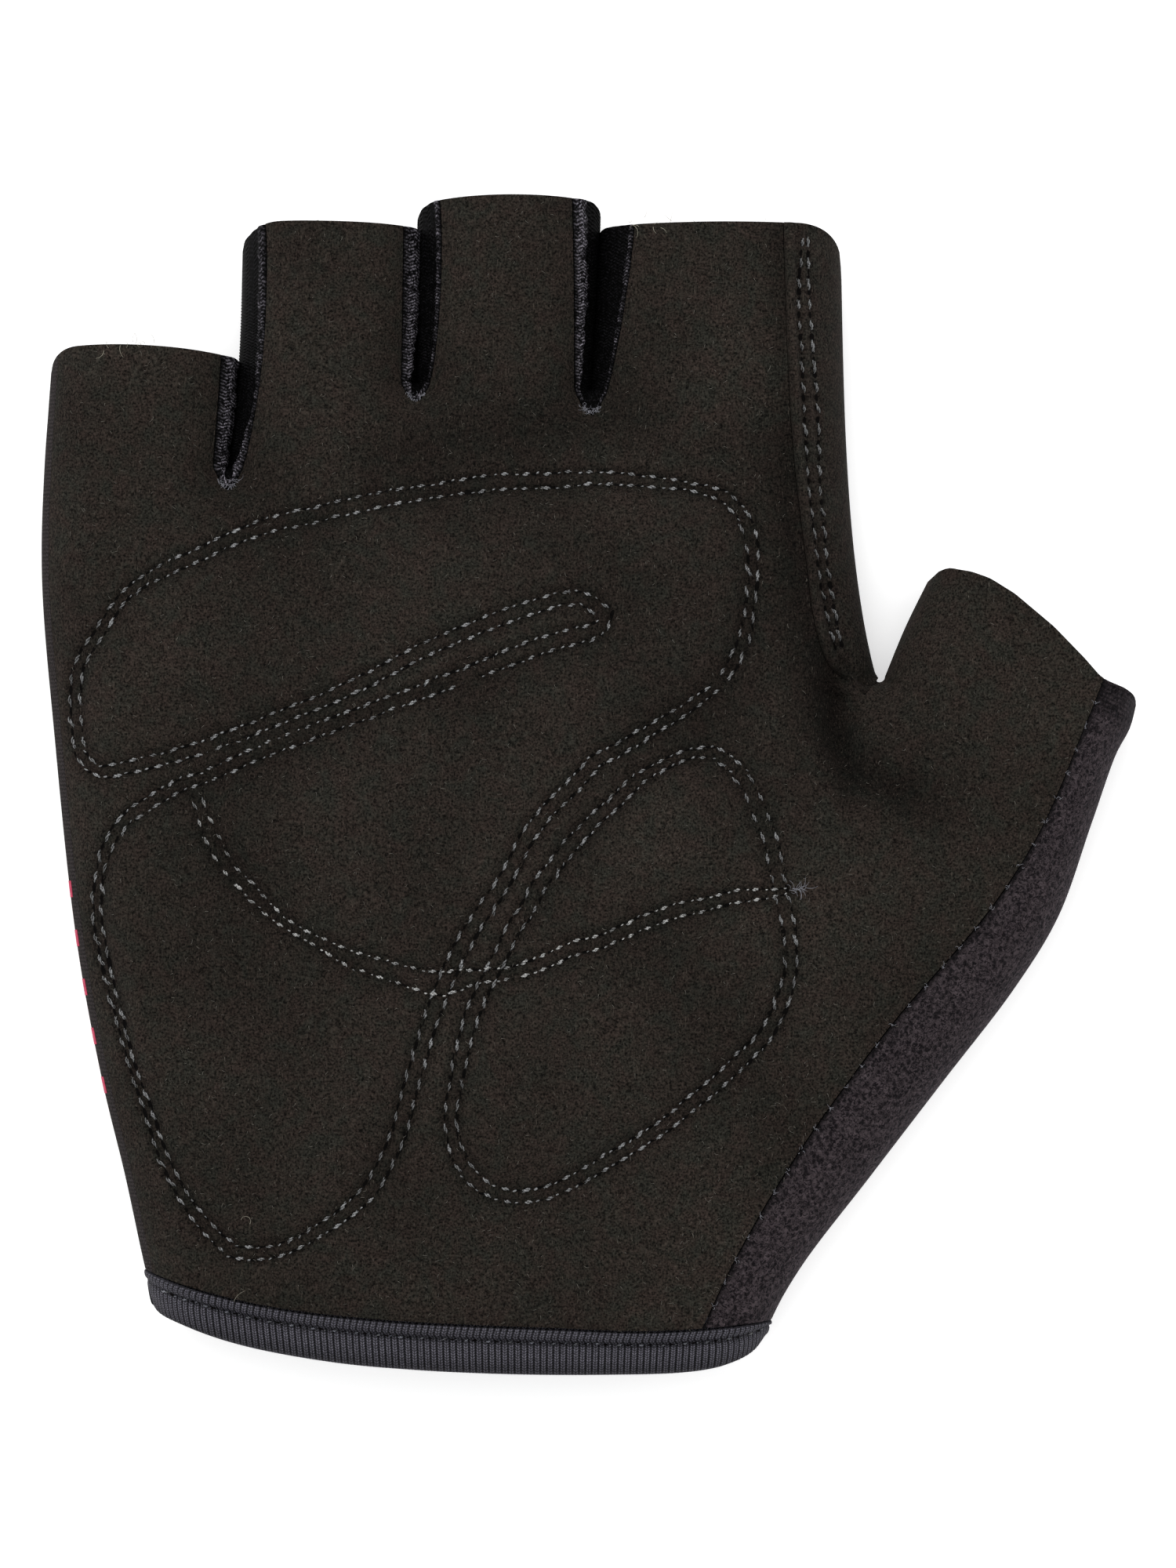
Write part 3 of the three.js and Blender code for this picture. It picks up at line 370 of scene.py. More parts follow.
relief = {
    "crownBlur": 3.0,
    "padLift": 1.1,          # foam fields over the rest of the palm
    "padRound": 3.0,         # length over which a field rises from its stitches
    "padBlur": 0.5,
    "padSeeds": [(-10, 30), (-40, -35), (8, -6), (3, -32), (10, 14)],
    "padStop": 0.55,         # how near a field comes to its stitches and to a side edge
    "padEdge": 1.0,
    "padSteps": 260,         # cells that a field may spread from its seed
    "channel": 0.5,          # depth that the stitches pull the suede in
    "channelWidth": 0.55,
    "pucker": 0.16,          # small waves from stitch to stitch
    "puckerReach": 2.2,
    "puckerBlur": 0.4,
    "wrinkle": 0.16,
    "wrinkleSizes": [(5.0, 0.6), (2.0, 0.4)],  # in millimetres, with their shares
    # Broad hollows: a line, half their width, their depth, and how much painted shade lies in them, or
    # painted light where the last number is below 0
    "hollows": [
        ([(30.4, 24), (31.4, 15), (32.2, 8), (33.4, 3.5), (36.5, 0.8), (41, -1)], 2.0, 1.0, 0.8),
        ([(30.2, 17), (31, 10), (32.2, 4), (33.4, -1)], 1.5, 0.6, 0.95),
        ([(24.7, 71.5), (24.9, 58), (25.5, 44), (26.6, 30), (28.0, 20.5), (29.7, 15.2)], 0.9, 0.3, 0.8),
        ([(33.4, 10.2), (35.3, 11.6), (37.2, 12.6)], 0.7, -0.3, -0.4),
        ([(26.4, 42), (26.6, 28), (27.6, 16), (30, 6)], 3.0, 0.4, 0.55),
        ([(31, 8), (38, 0), (45, -2.5)], 4.5, 0.4, 0.35),
        ([(-27, 40), (-18, 43.5), (-8, 45), (5, 46.5)], 4.5, 0.5, 0.42),
        ([(22, 22), (17, 9.5), (9, 4.6), (2, -4), (-5, -17)], 4.5, 0.5, 0.3),
        ([(-13, -27.5), (3, -22.5), (16, -17.5)], 2.6, 0.25, 0.16),
        ([(-52, -1.2), (-36, 3.2), (-16, 10.4), (2, 17.2)], 2.0, 0.25, 0.22),
        ([(-46, -7), (-38, -18.4), (-25, -25.5)], 2.0, 0.2, 0.14),
        ([(-27.5, -24), (-23, -38), (-28, -51)], 3.0, 0.2, 0.1),
        ([(-47, 38), (-43.5, 36.8)], 3.0, 0.3, 0.3),
        ([(-60.5, -22), (-57, -44), (-53.5, -60)], 2.4, 0.0, -0.22),
        ([(47, 2), (55, -3)], 4.0, 0.0, -0.16),
    ],
    "hollowBlur": 1.5,
    "grooveTone": 0.52,      # painted shade beside the thread, in the channel that the stitches pull in
    "grooveReach": 0.62,
    "napTone": 0.95,
    "cloudTone": 0.1,        # paler and darker patches
    "cloudSize": 5.0,
    "slopeShading": 0.18,       # painted shade on slopes that face the fingertips, painted light on those that face the cuff, up to the limit
    "slopeLimit": 0.15,
    "slopeBlur": 0.8,
    "backWave": 0.12,
    "backWaveSize": 6.0,
    # The fold below the thumb's crotch
    "crease": {"x": 32.3, "top": 12.5, "foot": -2, "depth": 2.8, "halfWidth": 2.0, "topFade": 6,
               "edgeFade": 3},
}

edgeField = nearestEdge(boardPlan, allEdges)[..., 0]


def padMask():
    # Spreads from a seed in each field until the stitch rows stop it
    free = (rowDistance > relief["padStop"]) & (edgeField > relief["padEdge"])
    mask = np.zeros(free.shape, bool)
    for x, y in relief["padSeeds"]:
        mask[int((y - board["y"]) / board["pitch"]), int((x - board["x"]) / board["pitch"])] = True
    for _ in range(relief["padSteps"]):
        grown = mask.copy()
        grown[1:] |= mask[:-1]
        grown[:-1] |= mask[1:]
        grown[:, 1:] |= mask[:, :-1]
        grown[:, :-1] |= mask[:, 1:]
        mask = grown & free
    return mask


def distanceTo(points):
    # From every cell to the nearest sample of a line
    line = curveThrough(points, 1.0)
    away = np.full(boardPlan.shape[:2], 1e9)
    for x, y in line[:, :2]:
        away = np.minimum(away, (boardPlan[..., 0] - x) ** 2 + (boardPlan[..., 1] - y) ** 2)
    return np.sqrt(away)


def hollowFields():
    # Depth of the broad hollows, and their painted shade and painted light: bell-shaped across their lines
    depth = np.zeros(boardPlan.shape[:2])
    dark = np.zeros(boardPlan.shape[:2])
    for points, halfWidth, deep, dim in relief["hollows"]:
        dent = bell(distanceTo(points) / halfWidth)
        depth += deep * dent
        dark = np.maximum(dark, dim * dent) if dim > 0 else dark + dim * dent
    return depth, dark


def palmField():
    # Crown of the whole palm, foam fields that round off towards their stitches, sunk stitch rows with small
    # puckers, the fold below the thumb's crotch, and faint wrinkles
    x, y = boardPlan[..., 0], boardPlan[..., 1]
    pastCuff = smooth((y - glove["cuffCrownStart"]) / glove["cuffCrownFade"])
    crownShare = mix(glove["cuffCrownShare"], 1, pastCuff)
    crown = glove["palmCrown"] * smooth(edgeField / glove["palmReach"]) * crownShare
    crown = blur(crown, relief["crownBlur"])
    lift = relief["padLift"] * (1 - np.exp(-rowDistance / relief["padRound"])) * padMask()
    lift = blur(lift, relief["padBlur"])
    sunk = relief["channel"] * bell(rowDistance / relief["channelWidth"])
    wave = np.cos(2 * math.pi * rowRun / stitching["pitch"]) * np.exp(-rowDistance / relief["puckerReach"])
    puckers = blur(relief["pucker"] * wave, relief["puckerBlur"])
    fold = relief["crease"]
    below = smooth((y - fold["foot"]) / (fold["top"] - fold["foot"]))
    above = smooth(1 - (y - fold["top"]) / fold["topFade"])
    across = bell((x - fold["x"]) / fold["halfWidth"])
    crease = fold["depth"] * below * above * across * smooth(edgeField / fold["edgeFade"])
    wrinkles = relief["wrinkle"] * sum(share * softNoise(size) for size, share in relief["wrinkleSizes"])
    return crown + lift - sunk + puckers - crease - hollowDepth + wrinkles


hollowDepth, hollowShading = hollowFields()
palmRelief = palmField()
grooveShade = relief["grooveTone"] * bell(rowDistance / relief["grooveReach"])
# Painted shade on slopes that face the fingertips and painted light on slopes that face the cuff, as a light
# from one side would give
slope = blur(np.gradient(palmRelief, board["pitch"], axis=0), relief["slopeBlur"])
slopeShading = np.clip(slope * relief["slopeShading"], -relief["slopeLimit"], relief["slopeLimit"])
clouds = 1 + relief["cloudTone"] * softNoise(relief["cloudSize"])
# The palm's tone: painted shade and light from the hollows, painted shade beside the stitches, random paler
# and darker patches, and painted shade and light on slopes
palmTone = relief["napTone"] * (1 - blur(hollowShading, relief["hollowBlur"])) * (1 - grooveShade)
palmTone = palmTone * clouds + slopeShading
backRelief = relief["backWave"] + relief["backWave"] * np.tanh(softNoise(relief["backWaveSize"]))
print("fields ready")


def surface(plan, side, out, edges=allEdges):
    # Quarter ellipses from the side edge: the palm rises to seamHeight + fingerRise, the back falls to the
    # table, and both are moved along their normal by out
    near = nearestEdge(plan, edges)
    distance = near[..., 0]
    cosine = 1 - clamp01(distance / glove["edgeRadius"])
    sine = quarterRound(distance / glove["edgeRadius"])
    fade = smooth(distance / glove["reliefFade"])
    front = glove["seamHeight"] + glove["fingerRise"] * sine + sampleBoard(palmRelief, plan) * fade
    back = glove["seamHeight"] * (1 - sine) + sampleBoard(backRelief, plan) * fade
    height = np.where(np.asarray(side) > 0, front, back)
    move = out * cosine
    x = plan[..., 0] - near[..., 1] * move
    y = plan[..., 1] - near[..., 2] * move
    return np.stack([x, y, np.maximum(0, height + side * out * sine)], axis=-1)


# Meshes


def quads(ids, aroundRows=False, aroundColumns=False):
    # One face between each four neighbours of a grid of point numbers
    if aroundRows:
        ids = np.vstack([ids, ids[:1]])
    if aroundColumns:
        ids = np.hstack([ids, ids[:, :1]])
    return np.stack([ids[:-1, :-1], ids[:-1, 1:], ids[1:, 1:], ids[1:, :-1]], axis=-1).reshape(-1, 4)


def addObject(name, data):
    # A new object at the origin
    added = bpy.data.objects.new(name, data)
    bpy.context.scene.collection.objects.link(added)
    return added


def makeMesh(name, points, faces, material, uv=None, sharp=50, tone=None):
    # Points in millimetres, merged where they meet; a quad that repeats a corner becomes a triangle, and
    # faces that meet at more than sharp degrees keep a crisp edge
    points = np.array(points, float).reshape(-1, 3)
    points[:, 0] -= glove["outlineMiddle"]
    rounded = np.round(points * 1e4).astype(np.int64)
    _, first, back = np.unique(rounded, axis=0, return_index=True, return_inverse=True)
    back = back.reshape(-1)
    polygons = []
    for block in faces:
        block = back[block]
        if block.shape[1] == 4:
            keep = [block[:, k] != block[:, (k + 1) % 4] for k in range(4)]
            whole = keep[0] & keep[1] & keep[2] & keep[3]
            polygons += block[whole].tolist()
            for k in range(4):
                flat = ~keep[k] & keep[(k + 1) % 4] & keep[(k + 2) % 4] & keep[(k + 3) % 4]
                polygons += block[flat][:, [(k + 1) % 4, (k + 2) % 4, (k + 3) % 4]].tolist()
        else:
            polygons += block.tolist()
    mesh = bpy.data.meshes.new(name)
    mesh.from_pydata((points[first] * 0.001).tolist(), [], polygons)
    mesh.polygons.foreach_set("use_smooth", np.ones(len(mesh.polygons), bool))
    if uv is not None:
        layer = mesh.uv_layers.new(name="uvMap")
        corners = np.empty(len(mesh.loops), np.int32)
        mesh.loops.foreach_get("vertex_index", corners)
        layer.data.foreach_set("uv", np.asarray(uv, float).reshape(-1, 2)[first][corners].ravel())
    if tone is not None:
        shade = mesh.attributes.new("tone", "FLOAT", "POINT")
        shade.data.foreach_set("value", np.asarray(tone, np.float32).ravel()[first])
    mesh.update()
    mesh.set_sharp_from_angle(angle=math.radians(sharp))
    piece = addObject(name, mesh)
    mesh.materials.append(material)
    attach(piece, "root")
    return piece


rimLines = {
    "bottom": lambda ids: ids[0],
    "right": lambda ids: ids[:, -1],
    "top": lambda ids: ids[-1, ::-1],
    "left": lambda ids: ids[::-1, 0],
}
allRims = [(0, side) for side in rimLines]  # of a panel that is one grid


def makePanel(name, grids, rims, material, flip=False, stride=2, uv=None, tone=None):
    # A wall of cloth: outer points, an inner wall of every stride-th point, and a rim along each open side
    points, faces, uvs, tones = [], [], [], []
    outerIds, innerIds = [], []
    count = 0
    for number, grid in enumerate(grids):
        inner = grid["inner"][::stride, ::stride]
        for block, ids, reverse in ((grid["outer"], outerIds, False), (inner, innerIds, True)):
            rows, columns = block.shape[:2]
            ids.append(np.arange(rows * columns).reshape(rows, columns) + count)
            count += rows * columns
            points.append(block.reshape(-1, 3))
            faces.append(quads(ids[-1])[:, ::-1] if reverse else quads(ids[-1]))
        if uv is not None:
            uvs += [uv[number].reshape(-1, 2), uv[number][::stride, ::stride].reshape(-1, 2)]
        if tone is not None:
            tones += [tone[number].ravel(), tone[number][::stride, ::stride].ravel()]
    for number, side in rims:
        o = rimLines[side](outerIds[number])
        i = rimLines[side](innerIds[number])
        if stride == 1:
            faces.append(np.stack([o[1:], o[:-1], i[:-1], i[1:]], axis=-1))
        else:
            faces.append(np.stack([o[1:-1:2], o[:-2:2], i[:-1]], axis=-1))
            faces.append(np.stack([o[1:-1:2], i[:-1], i[1:]], axis=-1))
            faces.append(np.stack([o[2::2], o[1:-1:2], i[1:]], axis=-1))
    if flip:
        faces = [block[:, ::-1] for block in faces]
    allUv = np.concatenate(uvs) if uvs else None
    allTone = np.concatenate(tones) if tones else None
    return makeMesh(name, np.concatenate(points), faces, material, allUv, tone=allTone)


def wall(plan, side, thickness, lift=0.0, edges=allEdges):
    # Outer side of a cloth, and the inner one a thickness below it
    lift = np.broadcast_to(lift, plan.shape[:-1])
    return {"outer": surface(plan, side, lift, edges), "inner": surface(plan, side, lift - thickness, edges)}


def tubes(name, paths, radii, sides, material, tone=None):
    # Many tubes at once: a ring of points round each point of each path, square to its run
    paths = np.asarray(paths, float)
    many, rings = paths.shape[:2]
    run = np.gradient(paths, axis=1)
    run /= np.linalg.norm(run, axis=-1, keepdims=True)
    across = np.cross(run, np.array([0.13, 0.21, 0.97]))
    across /= np.linalg.norm(across, axis=-1, keepdims=True)
    up = np.cross(across, run)
    turn = np.linspace(0, 2 * math.pi, sides, endpoint=False)
    ring = across[:, :, None] * np.cos(turn)[:, None] + up[:, :, None] * np.sin(turn)[:, None]
    points = paths[:, :, None] + ring * radii[:, :, None, None]
    ids = np.arange(many * rings * sides).reshape(many, rings, sides)
    here, ahead = ids, np.roll(ids, -1, axis=-1)
    sideFaces = np.stack([here[:, :-1], ahead[:, :-1], ahead[:, 1:], here[:, 1:]], axis=-1)
    u = np.broadcast_to(np.linspace(0, 1, rings)[None, :, None], ids.shape)
    v = np.broadcast_to(turn / (2 * math.pi), ids.shape)
    faces = [sideFaces.reshape(-1, 4), ids[:, 0, ::-1], ids[:, -1]]
    if tone is not None:
        tone = np.broadcast_to(tone[:, None, None], ids.shape)
    piece = makeMesh(name, points, faces, material, np.stack([u, v], axis=-1), 80, tone)


# Materials


class Look:
    # Short hand for one material's nodes, all reading Object coordinates or the piece's own UV map
    def __init__(self, name, roughness, sheen=0.0, sheenRoughness=0.5, sheenTint=(1, 1, 1), specular=0.5):
        self.material = bpy.data.materials.new(name)
        self.material.use_nodes = True
        self.nodes = self.material.node_tree.nodes
        self.links = self.material.node_tree.links
        self.shader = self.nodes["Principled BSDF"]
        values = {"Roughness": roughness, "Sheen Weight": sheen, "Sheen Roughness": sheenRoughness,
                  "Sheen Tint": (*sheenTint, 1), "Specular IOR Level": specular}
        for key, value in values.items():
            self.shader.inputs[key].default_value = value
        self.place = self.nodes.new("ShaderNodeTexCoord")

    def add(self, kind, inputs=None, **settings):
        # A node, each input a plain value or another node's output
        node = self.nodes.new("ShaderNode" + kind)
        for key, value in settings.items():
            setattr(node, key, value)
        for key, value in (inputs or {}).items():
            if isinstance(value, bpy.types.NodeSocket):
                self.links.new(value, node.inputs[key])
            else:
                node.inputs[key].default_value = value
        return node

    def mapped(self, scale=(1, 1, 1), turn=0.0, source="Object"):
        # Coordinates stretched, and turned about Z by so many degrees
        node = self.add("Mapping", {"Vector": self.place.outputs[source], "Scale": scale})
        node.inputs["Rotation"].default_value = (0, 0, math.radians(turn))
        return node.outputs["Vector"]

    def noise(self, size, detail=2.0, roughness=0.5, distortion=0.0, vector=None):
        # size is the width of one feature in millimetres
        inputs = {"Scale": 1000.0 / size, "Detail": detail, "Roughness": roughness, "Distortion": distortion}
        inputs["Vector"] = vector if vector is not None else self.place.outputs["Object"]
        return self.add("TexNoise", inputs).outputs["Fac"]

    def uv(self):
        # The piece's own two measures over its cloth
        parts = self.add("SeparateXYZ", {"Vector": self.mapped(source="UV")})
        return parts.outputs["X"], parts.outputs["Y"]

    def ramp(self, value, stops):
        # A colour for each place between 0 and 1, mixed in between
        node = self.add("ValToRGB", {"Fac": value})
        while len(node.color_ramp.elements) < len(stops):
            node.color_ramp.elements.new(0.5)
        for element, (position, colour) in zip(node.color_ramp.elements, stops):
            element.position = position
            element.color = (*colour, 1)
        return node.outputs["Color"]

    def level(self, value, low, high, fromLow=0.0, fromHigh=1.0):
        # One range of values carried over to another, and held inside it
        inputs = {"Value": value, "From Min": fromLow, "From Max": fromHigh, "To Min": low, "To Max": high}
        return self.add("MapRange", inputs).outputs["Result"]

    def math(self, operation, a, b=0.0):
        return self.add("Math", {0: a, 1: b}, operation=operation).outputs[0]

    def product(self, first, *others):
        # All of them multiplied
        for value in others:
            first = self.math("MULTIPLY", first, value)
        return first

    def weighed(self, *parts):
        # Each value times its weight, added up
        total = None
        for value, weight in parts:
            part = self.math("MULTIPLY", value, weight)
            total = part if total is None else self.math("ADD", total, part)
        return total

    def wave(self, turns):
        # Sine that repeats each time its value goes up by one
        return self.math("SINE", self.math("MULTIPLY", turns, 2 * math.pi))

    def zigzag(self, turns):
        # Distance from the middle of each repeat: half at its ends, 0 in its middle
        return self.math("ABSOLUTE", self.math("SUBTRACT", self.math("FRACT", turns), 0.5))

    def blend(self, share, a, b, mode="MIX"):
        # From colour a to b by the share, or a multiplied by b
        node = self.add("Mix", data_type="RGBA", blend_type=mode)
        for socket, value in ((node.inputs[0], share), (node.inputs[6], a), (node.inputs[7], b)):
            if isinstance(value, bpy.types.NodeSocket):
                self.links.new(value, socket)
            else:
                socket.default_value = (*value, 1) if isinstance(value, tuple) else value
        return node.outputs[2]

    def attribute(self, name):
        return self.add("Attribute", attribute_name=name, attribute_type="GEOMETRY").outputs["Fac"]

    def shaded(self, colour, tone):
        # The colour times one number per place
        grey = self.add("CombineColor", {0: tone, 1: tone, 2: tone}).outputs[0]
        return self.blend(1.0, colour, grey, "MULTIPLY")

    def finish(self, colour, height, distance, strength):
        # Colour and bumps, whose full height is the distance in metres
        self.links.new(colour, self.shader.inputs["Base Color"])
        bump = self.add("Bump", {"Height": height, "Distance": distance, "Strength": strength})
        self.links.new(bump.outputs["Normal"], self.shader.inputs["Normal"])
        return self.material


def scaled(colour, factor):
    # Lighter or darker, with no channel over 1
    return tuple(min(1.0, channel * factor) for channel in colour)


shades = {
    "suede": (0.0168, 0.0138, 0.0112),
    "suedeBrown": (0.0184, 0.0136, 0.0113),
    "suedeOlive": (0.0144, 0.0139, 0.0112),
    "thumbKnit": (0.052, 0.041, 0.045),
    "thumbGround": (0.004, 0.0032, 0.004),
    "backKnit": (0.0185, 0.0155, 0.0155),
    "strip": (0.042, 0.039, 0.045),
    "cuff": (0.053, 0.051, 0.062),
    # The four thread colours are painted highlights on dark thread; the two after them are the thread's own
    # dark colour deepened by painted shade where it dives into the cloth
    "thread": (0.19, 0.194, 0.198),
    "sideThread": (0.18, 0.184, 0.19),
    "crossThread": (0.34, 0.34, 0.33),
    "cuffThread": (0.11, 0.115, 0.14),
    "threadShade": (0.005, 0.005, 0.005),
    "cuffThreadShade": (0.004, 0.004, 0.006),
    # Painted shade for the needle holes
    "hole": (0.003, 0.0027, 0.0026),
    "foam": (0.08, 0.075, 0.07),
    "nap": (0.12, 0.112, 0.095),
    "fibre": (0.3, 0.28, 0.22),
    "fray": (0.16, 0.16, 0.18),
    "pink": (0.46, 0.038, 0.09),
    "table": (0.93, 0.93, 0.93),
}


def makeSuede(name):
    # Fine speckled nap over soft patches of brown and olive, short pale fibres in three directions, and the
    # tone attribute, which brings painted shade and painted light as well as random paler and darker patches
    m = Look(name, 0.95, sheen=0.012, sheenRoughness=0.6, sheenTint=(0.75, 0.66, 0.58), specular=0.06)
    grain = m.noise(0.27, 1.5, 0.55)
    nap = m.noise(0.6, 3.0, 0.6, 0.7)
    patch = m.noise(3.2, 3.0, 0.6, 0.5)
    stops = [(0.36, shades["suedeOlive"]), (0.5, shades["suede"]), (0.64, shades["suedeBrown"])]
    tones = [m.level(grain, 0.12, 1.88, 0.3, 0.7), m.level(nap, 0.7, 1.3, 0.3, 0.7), m.attribute("tone")]
    colour = m.shaded(m.ramp(patch, stops), m.product(*tones))
    hair = None
    for turn, stretch in ((34, 0.14), (-58, 0.18), (80, 0.16)):
        strand = m.noise(0.15, 1.0, 0.5, 0.0, m.mapped((1, stretch, 1), turn))
        strand = m.level(strand, 0.0, 1.0, 0.68, 0.78)
        hair = strand if hair is None else m.math("MAXIMUM", hair, strand)
    colour = m.blend(m.math("MULTIPLY", hair, 0.6), colour, scaled(shades["suede"], 4.2))
    return m.finish(colour, m.weighed((grain, 0.5), (nap, 0.8), (hair, 0.4)), 0.0002, 0.7)


def makeBrushedKnit(name, light, dark):
    # Teased loops: bright mauve specks over a dark ground, with the ground's pin holes in loose rows and
    # dark ribs by the hem. The UV map's u is the distance from the hem in millimetres
    m = Look(name, 0.95, sheen=0.03, sheenRoughness=0.5, sheenTint=(0.85, 0.75, 0.9), specular=0.08)
    specks = m.noise(0.42, 2.0, 0.75, 1.0)
    fluff = m.noise(1.3, 2.0, 0.6, 0.5)
    cells = {"Scale": 1000 / 0.9, "Vector": m.mapped((1, 0.75, 1), 52), "Randomness": 0.55}
    holes = m.add("TexVoronoi", cells).outputs["Distance"]
    share = m.math("MULTIPLY", m.level(specks, 0.0, 1.0, 0.4, 0.62), m.level(holes, 0.1, 1.0, 0.14, 0.36))
    colour = m.blend(share, dark, light)
    toHem = m.uv()[0]
    rib = m.math("SINE", m.math("MULTIPLY", toHem, 2 * math.pi / 0.55))
    hem = m.math("MULTIPLY", m.level(toHem, 1.0, 0.0, 3.2, 5.0), m.level(rib, 0.75, 0.35, -1.0, 1.0))
    colour = m.shaded(colour, m.math("SUBTRACT", 1.0, hem))
    # The tone attribute paints shade into the seam beside the suede
    colour = m.shaded(colour, m.product(m.level(fluff, 0.75, 1.25, 0.3, 0.7), m.attribute("tone")))
    height = m.weighed((specks, 0.8), (m.level(holes, 0, 1, 0.05, 0.4), 0.6))
    return m.finish(colour, height, 0.00028, 0.8)


def makeFineKnit(name, base):
    # Columns of V-shaped stitches: two slanted waves that meet in the middle of each wale. The UV map is in
    # millimetres over the cloth
    m = Look(name, 0.95, specular=0.05)
    x, y = m.uv()
    wale = m.zigzag(m.math("DIVIDE", x, 0.7))
    course = m.wave(m.math("ADD", m.math("DIVIDE", y, 0.5), m.math("MULTIPLY", wale, 1.1)))
    height = m.math("MULTIPLY", m.math("ADD", course, 1.0), m.wave(wale))
    grain = m.noise(0.3, 2.0, 0.6)
    # The tone attribute paints light onto the strip where it curves round beside the palm
    tones = [m.level(height, 0.45, 1.5, 0.0, 2.0), m.level(grain, 0.5, 1.5, 0.3, 0.7), m.attribute("tone")]
    return m.finish(m.shaded(base, m.product(*tones)), height, 0.00012, 0.6)


def makeStretchCloth(name, base, pitch):
    # Ribs that meet in herringbone rows, with painted glints in place of a shine. The piece's UV map is in
    # millimetres, u along the strip; the tone attribute paints shade into the fold between two fingers
    m = Look(name, 0.7, specular=0.05)
    u, v = m.uv()
    zigzag = m.zigzag(m.math("DIVIDE", v, 0.85))
    wave = m.wave(m.math("ADD", m.math("DIVIDE", u, pitch), m.math("MULTIPLY", zigzag, 1.7)))
    fibre = m.noise(0.24, 2.0, 0.7)
    glint = m.noise(0.5, 1.5, 0.7, 0.8)
    tone = m.product(m.level(wave, 0.05, 1.9, -1, 1), m.level(fibre, 0.1, 1.9, 0.36, 0.64),
                     m.level(glint, 0.1, 2.6, 0.42, 0.6), m.attribute("tone"))
    return m.finish(m.shaded(base, tone), m.weighed((wave, 0.3), (fibre, 0.6)), 0.0001, 0.7)


def makeRibKnit(name, base, pitch):
    # Each rib is a wale of two strands, chained in small Vs. u runs along the binding in millimetres from
    # the middle of a rib, v across it
    m = Look(name, 0.75, specular=0.12)
    u, v = m.uv()
    side = m.zigzag(m.math("ADD", m.math("DIVIDE", u, pitch), 0.5))
    strand = m.wave(side)
    chain = m.wave(m.math("ADD", m.math("DIVIDE", v, 0.36), m.math("MULTIPLY", side, 1.5)))
    fibre = m.noise(0.2, 2.0, 0.6)
    # The tone attribute paints shade between the ribs, in the sunk seam and at the edges, and light on them
    tone = m.product(m.level(strand, 0.1, 1.55), m.level(chain, 0.4, 1.6, -1, 1),
                     m.level(fibre, 0.4, 1.6, 0.3, 0.7), m.attribute("tone"))
    return m.finish(m.shaded(base, tone), m.weighed((chain, 0.3), (strand, 0.5)), 0.0001, 0.7)


def makeThread(name, base, end, sparkle=1.9, fade=None):
    # Painted highlight in flecks in the middle of a stitch, and black with painted shade where it dives into
    # the cloth; u runs along the stitch. A fade gives two places up the glove, in millimetres, between which
    # the painted highlight comes in
    m = Look(name, 0.26, specular=1.0)
    middle = m.math("SINE", m.math("MULTIPLY", m.uv()[0], math.pi))
    glintBump = m.noise(0.19, 1.5, 0.6)
    patch = m.noise(2.4, 2.0, 0.5)
    tone = m.product(m.level(middle, 0.0, 0.75, 0.35, 0.95), m.level(glintBump, 0.1, sparkle, 0.42, 0.62),
                     m.level(patch, 0.35, 1.15, 0.4, 0.6), m.attribute("tone"))
    if fade is not None:
        up = m.add("SeparateXYZ", {"Vector": m.mapped((1000, 1000, 1000))}).outputs["Y"]
        tone = m.product(tone, m.level(up, 0.3, 1.0, *fade))
    return m.finish(m.blend(tone, end, base), glintBump, 0.00012, 0.7)


def makePlain(name, base, roughness, specular, spread=0.25, size=0.5):
    # One colour, in soft patches a little lighter and darker; size is a patch's width in millimetres
    m = Look(name, roughness, specular=specular)
    tone = m.noise(size, 3.0, 0.6)
    colour = m.ramp(tone, [(0.3, scaled(base, 1 - spread)), (0.7, scaled(base, 1 + spread))])
    return m.finish(colour, tone, 0.0001, 0.4)


suedeMaterial = makeSuede("palmSuede")
thumbKnitMaterial = makeBrushedKnit("brushedKnit", shades["thumbKnit"], shades["thumbGround"])
backKnitMaterial = makeFineKnit("backKnit", shades["backKnit"])
stripMaterial = makeStretchCloth("stretchStrip", shades["strip"], glove["stripRib"])
cuffMaterial = makeRibKnit("cuffElastic", shades["cuff"], glove["cuffRib"])
threadMaterial = makeThread("sewingThread", shades["thread"], shades["threadShade"])
# Its painted highlights grow from dim to full between 30 and 60 millimetres up the glove
sideThreadMaterial = makeThread("sideThread", shades["sideThread"], shades["threadShade"], fade=(30, 60))
# Brighter painted highlights on the row that runs across the hand
crossThreadMaterial = makeThread("crossThread", shades["crossThread"], shades["threadShade"], 2.2)
cuffThreadMaterial = makeThread("cuffThread", shades["cuffThread"], shades["cuffThreadShade"])
holeShadeMaterial = makePlain("needleHoleShade", shades["hole"], 0.98, 0.02)
foamMaterial = makePlain("padFoam", shades["foam"], 0.9, 0.2)
napMaterial = makePlain("napFibre", shades["nap"], 0.7, 0.3)
fibreMaterial = makePlain("looseFibre", shades["fibre"], 0.6, 0.3)
frayMaterial = makePlain("frayedEnds", shades["fray"], 0.5, 0.4)
pinkMaterial = makePlain("pinkPrint", shades["pink"], 0.7, 0.15)
print("materials ready")

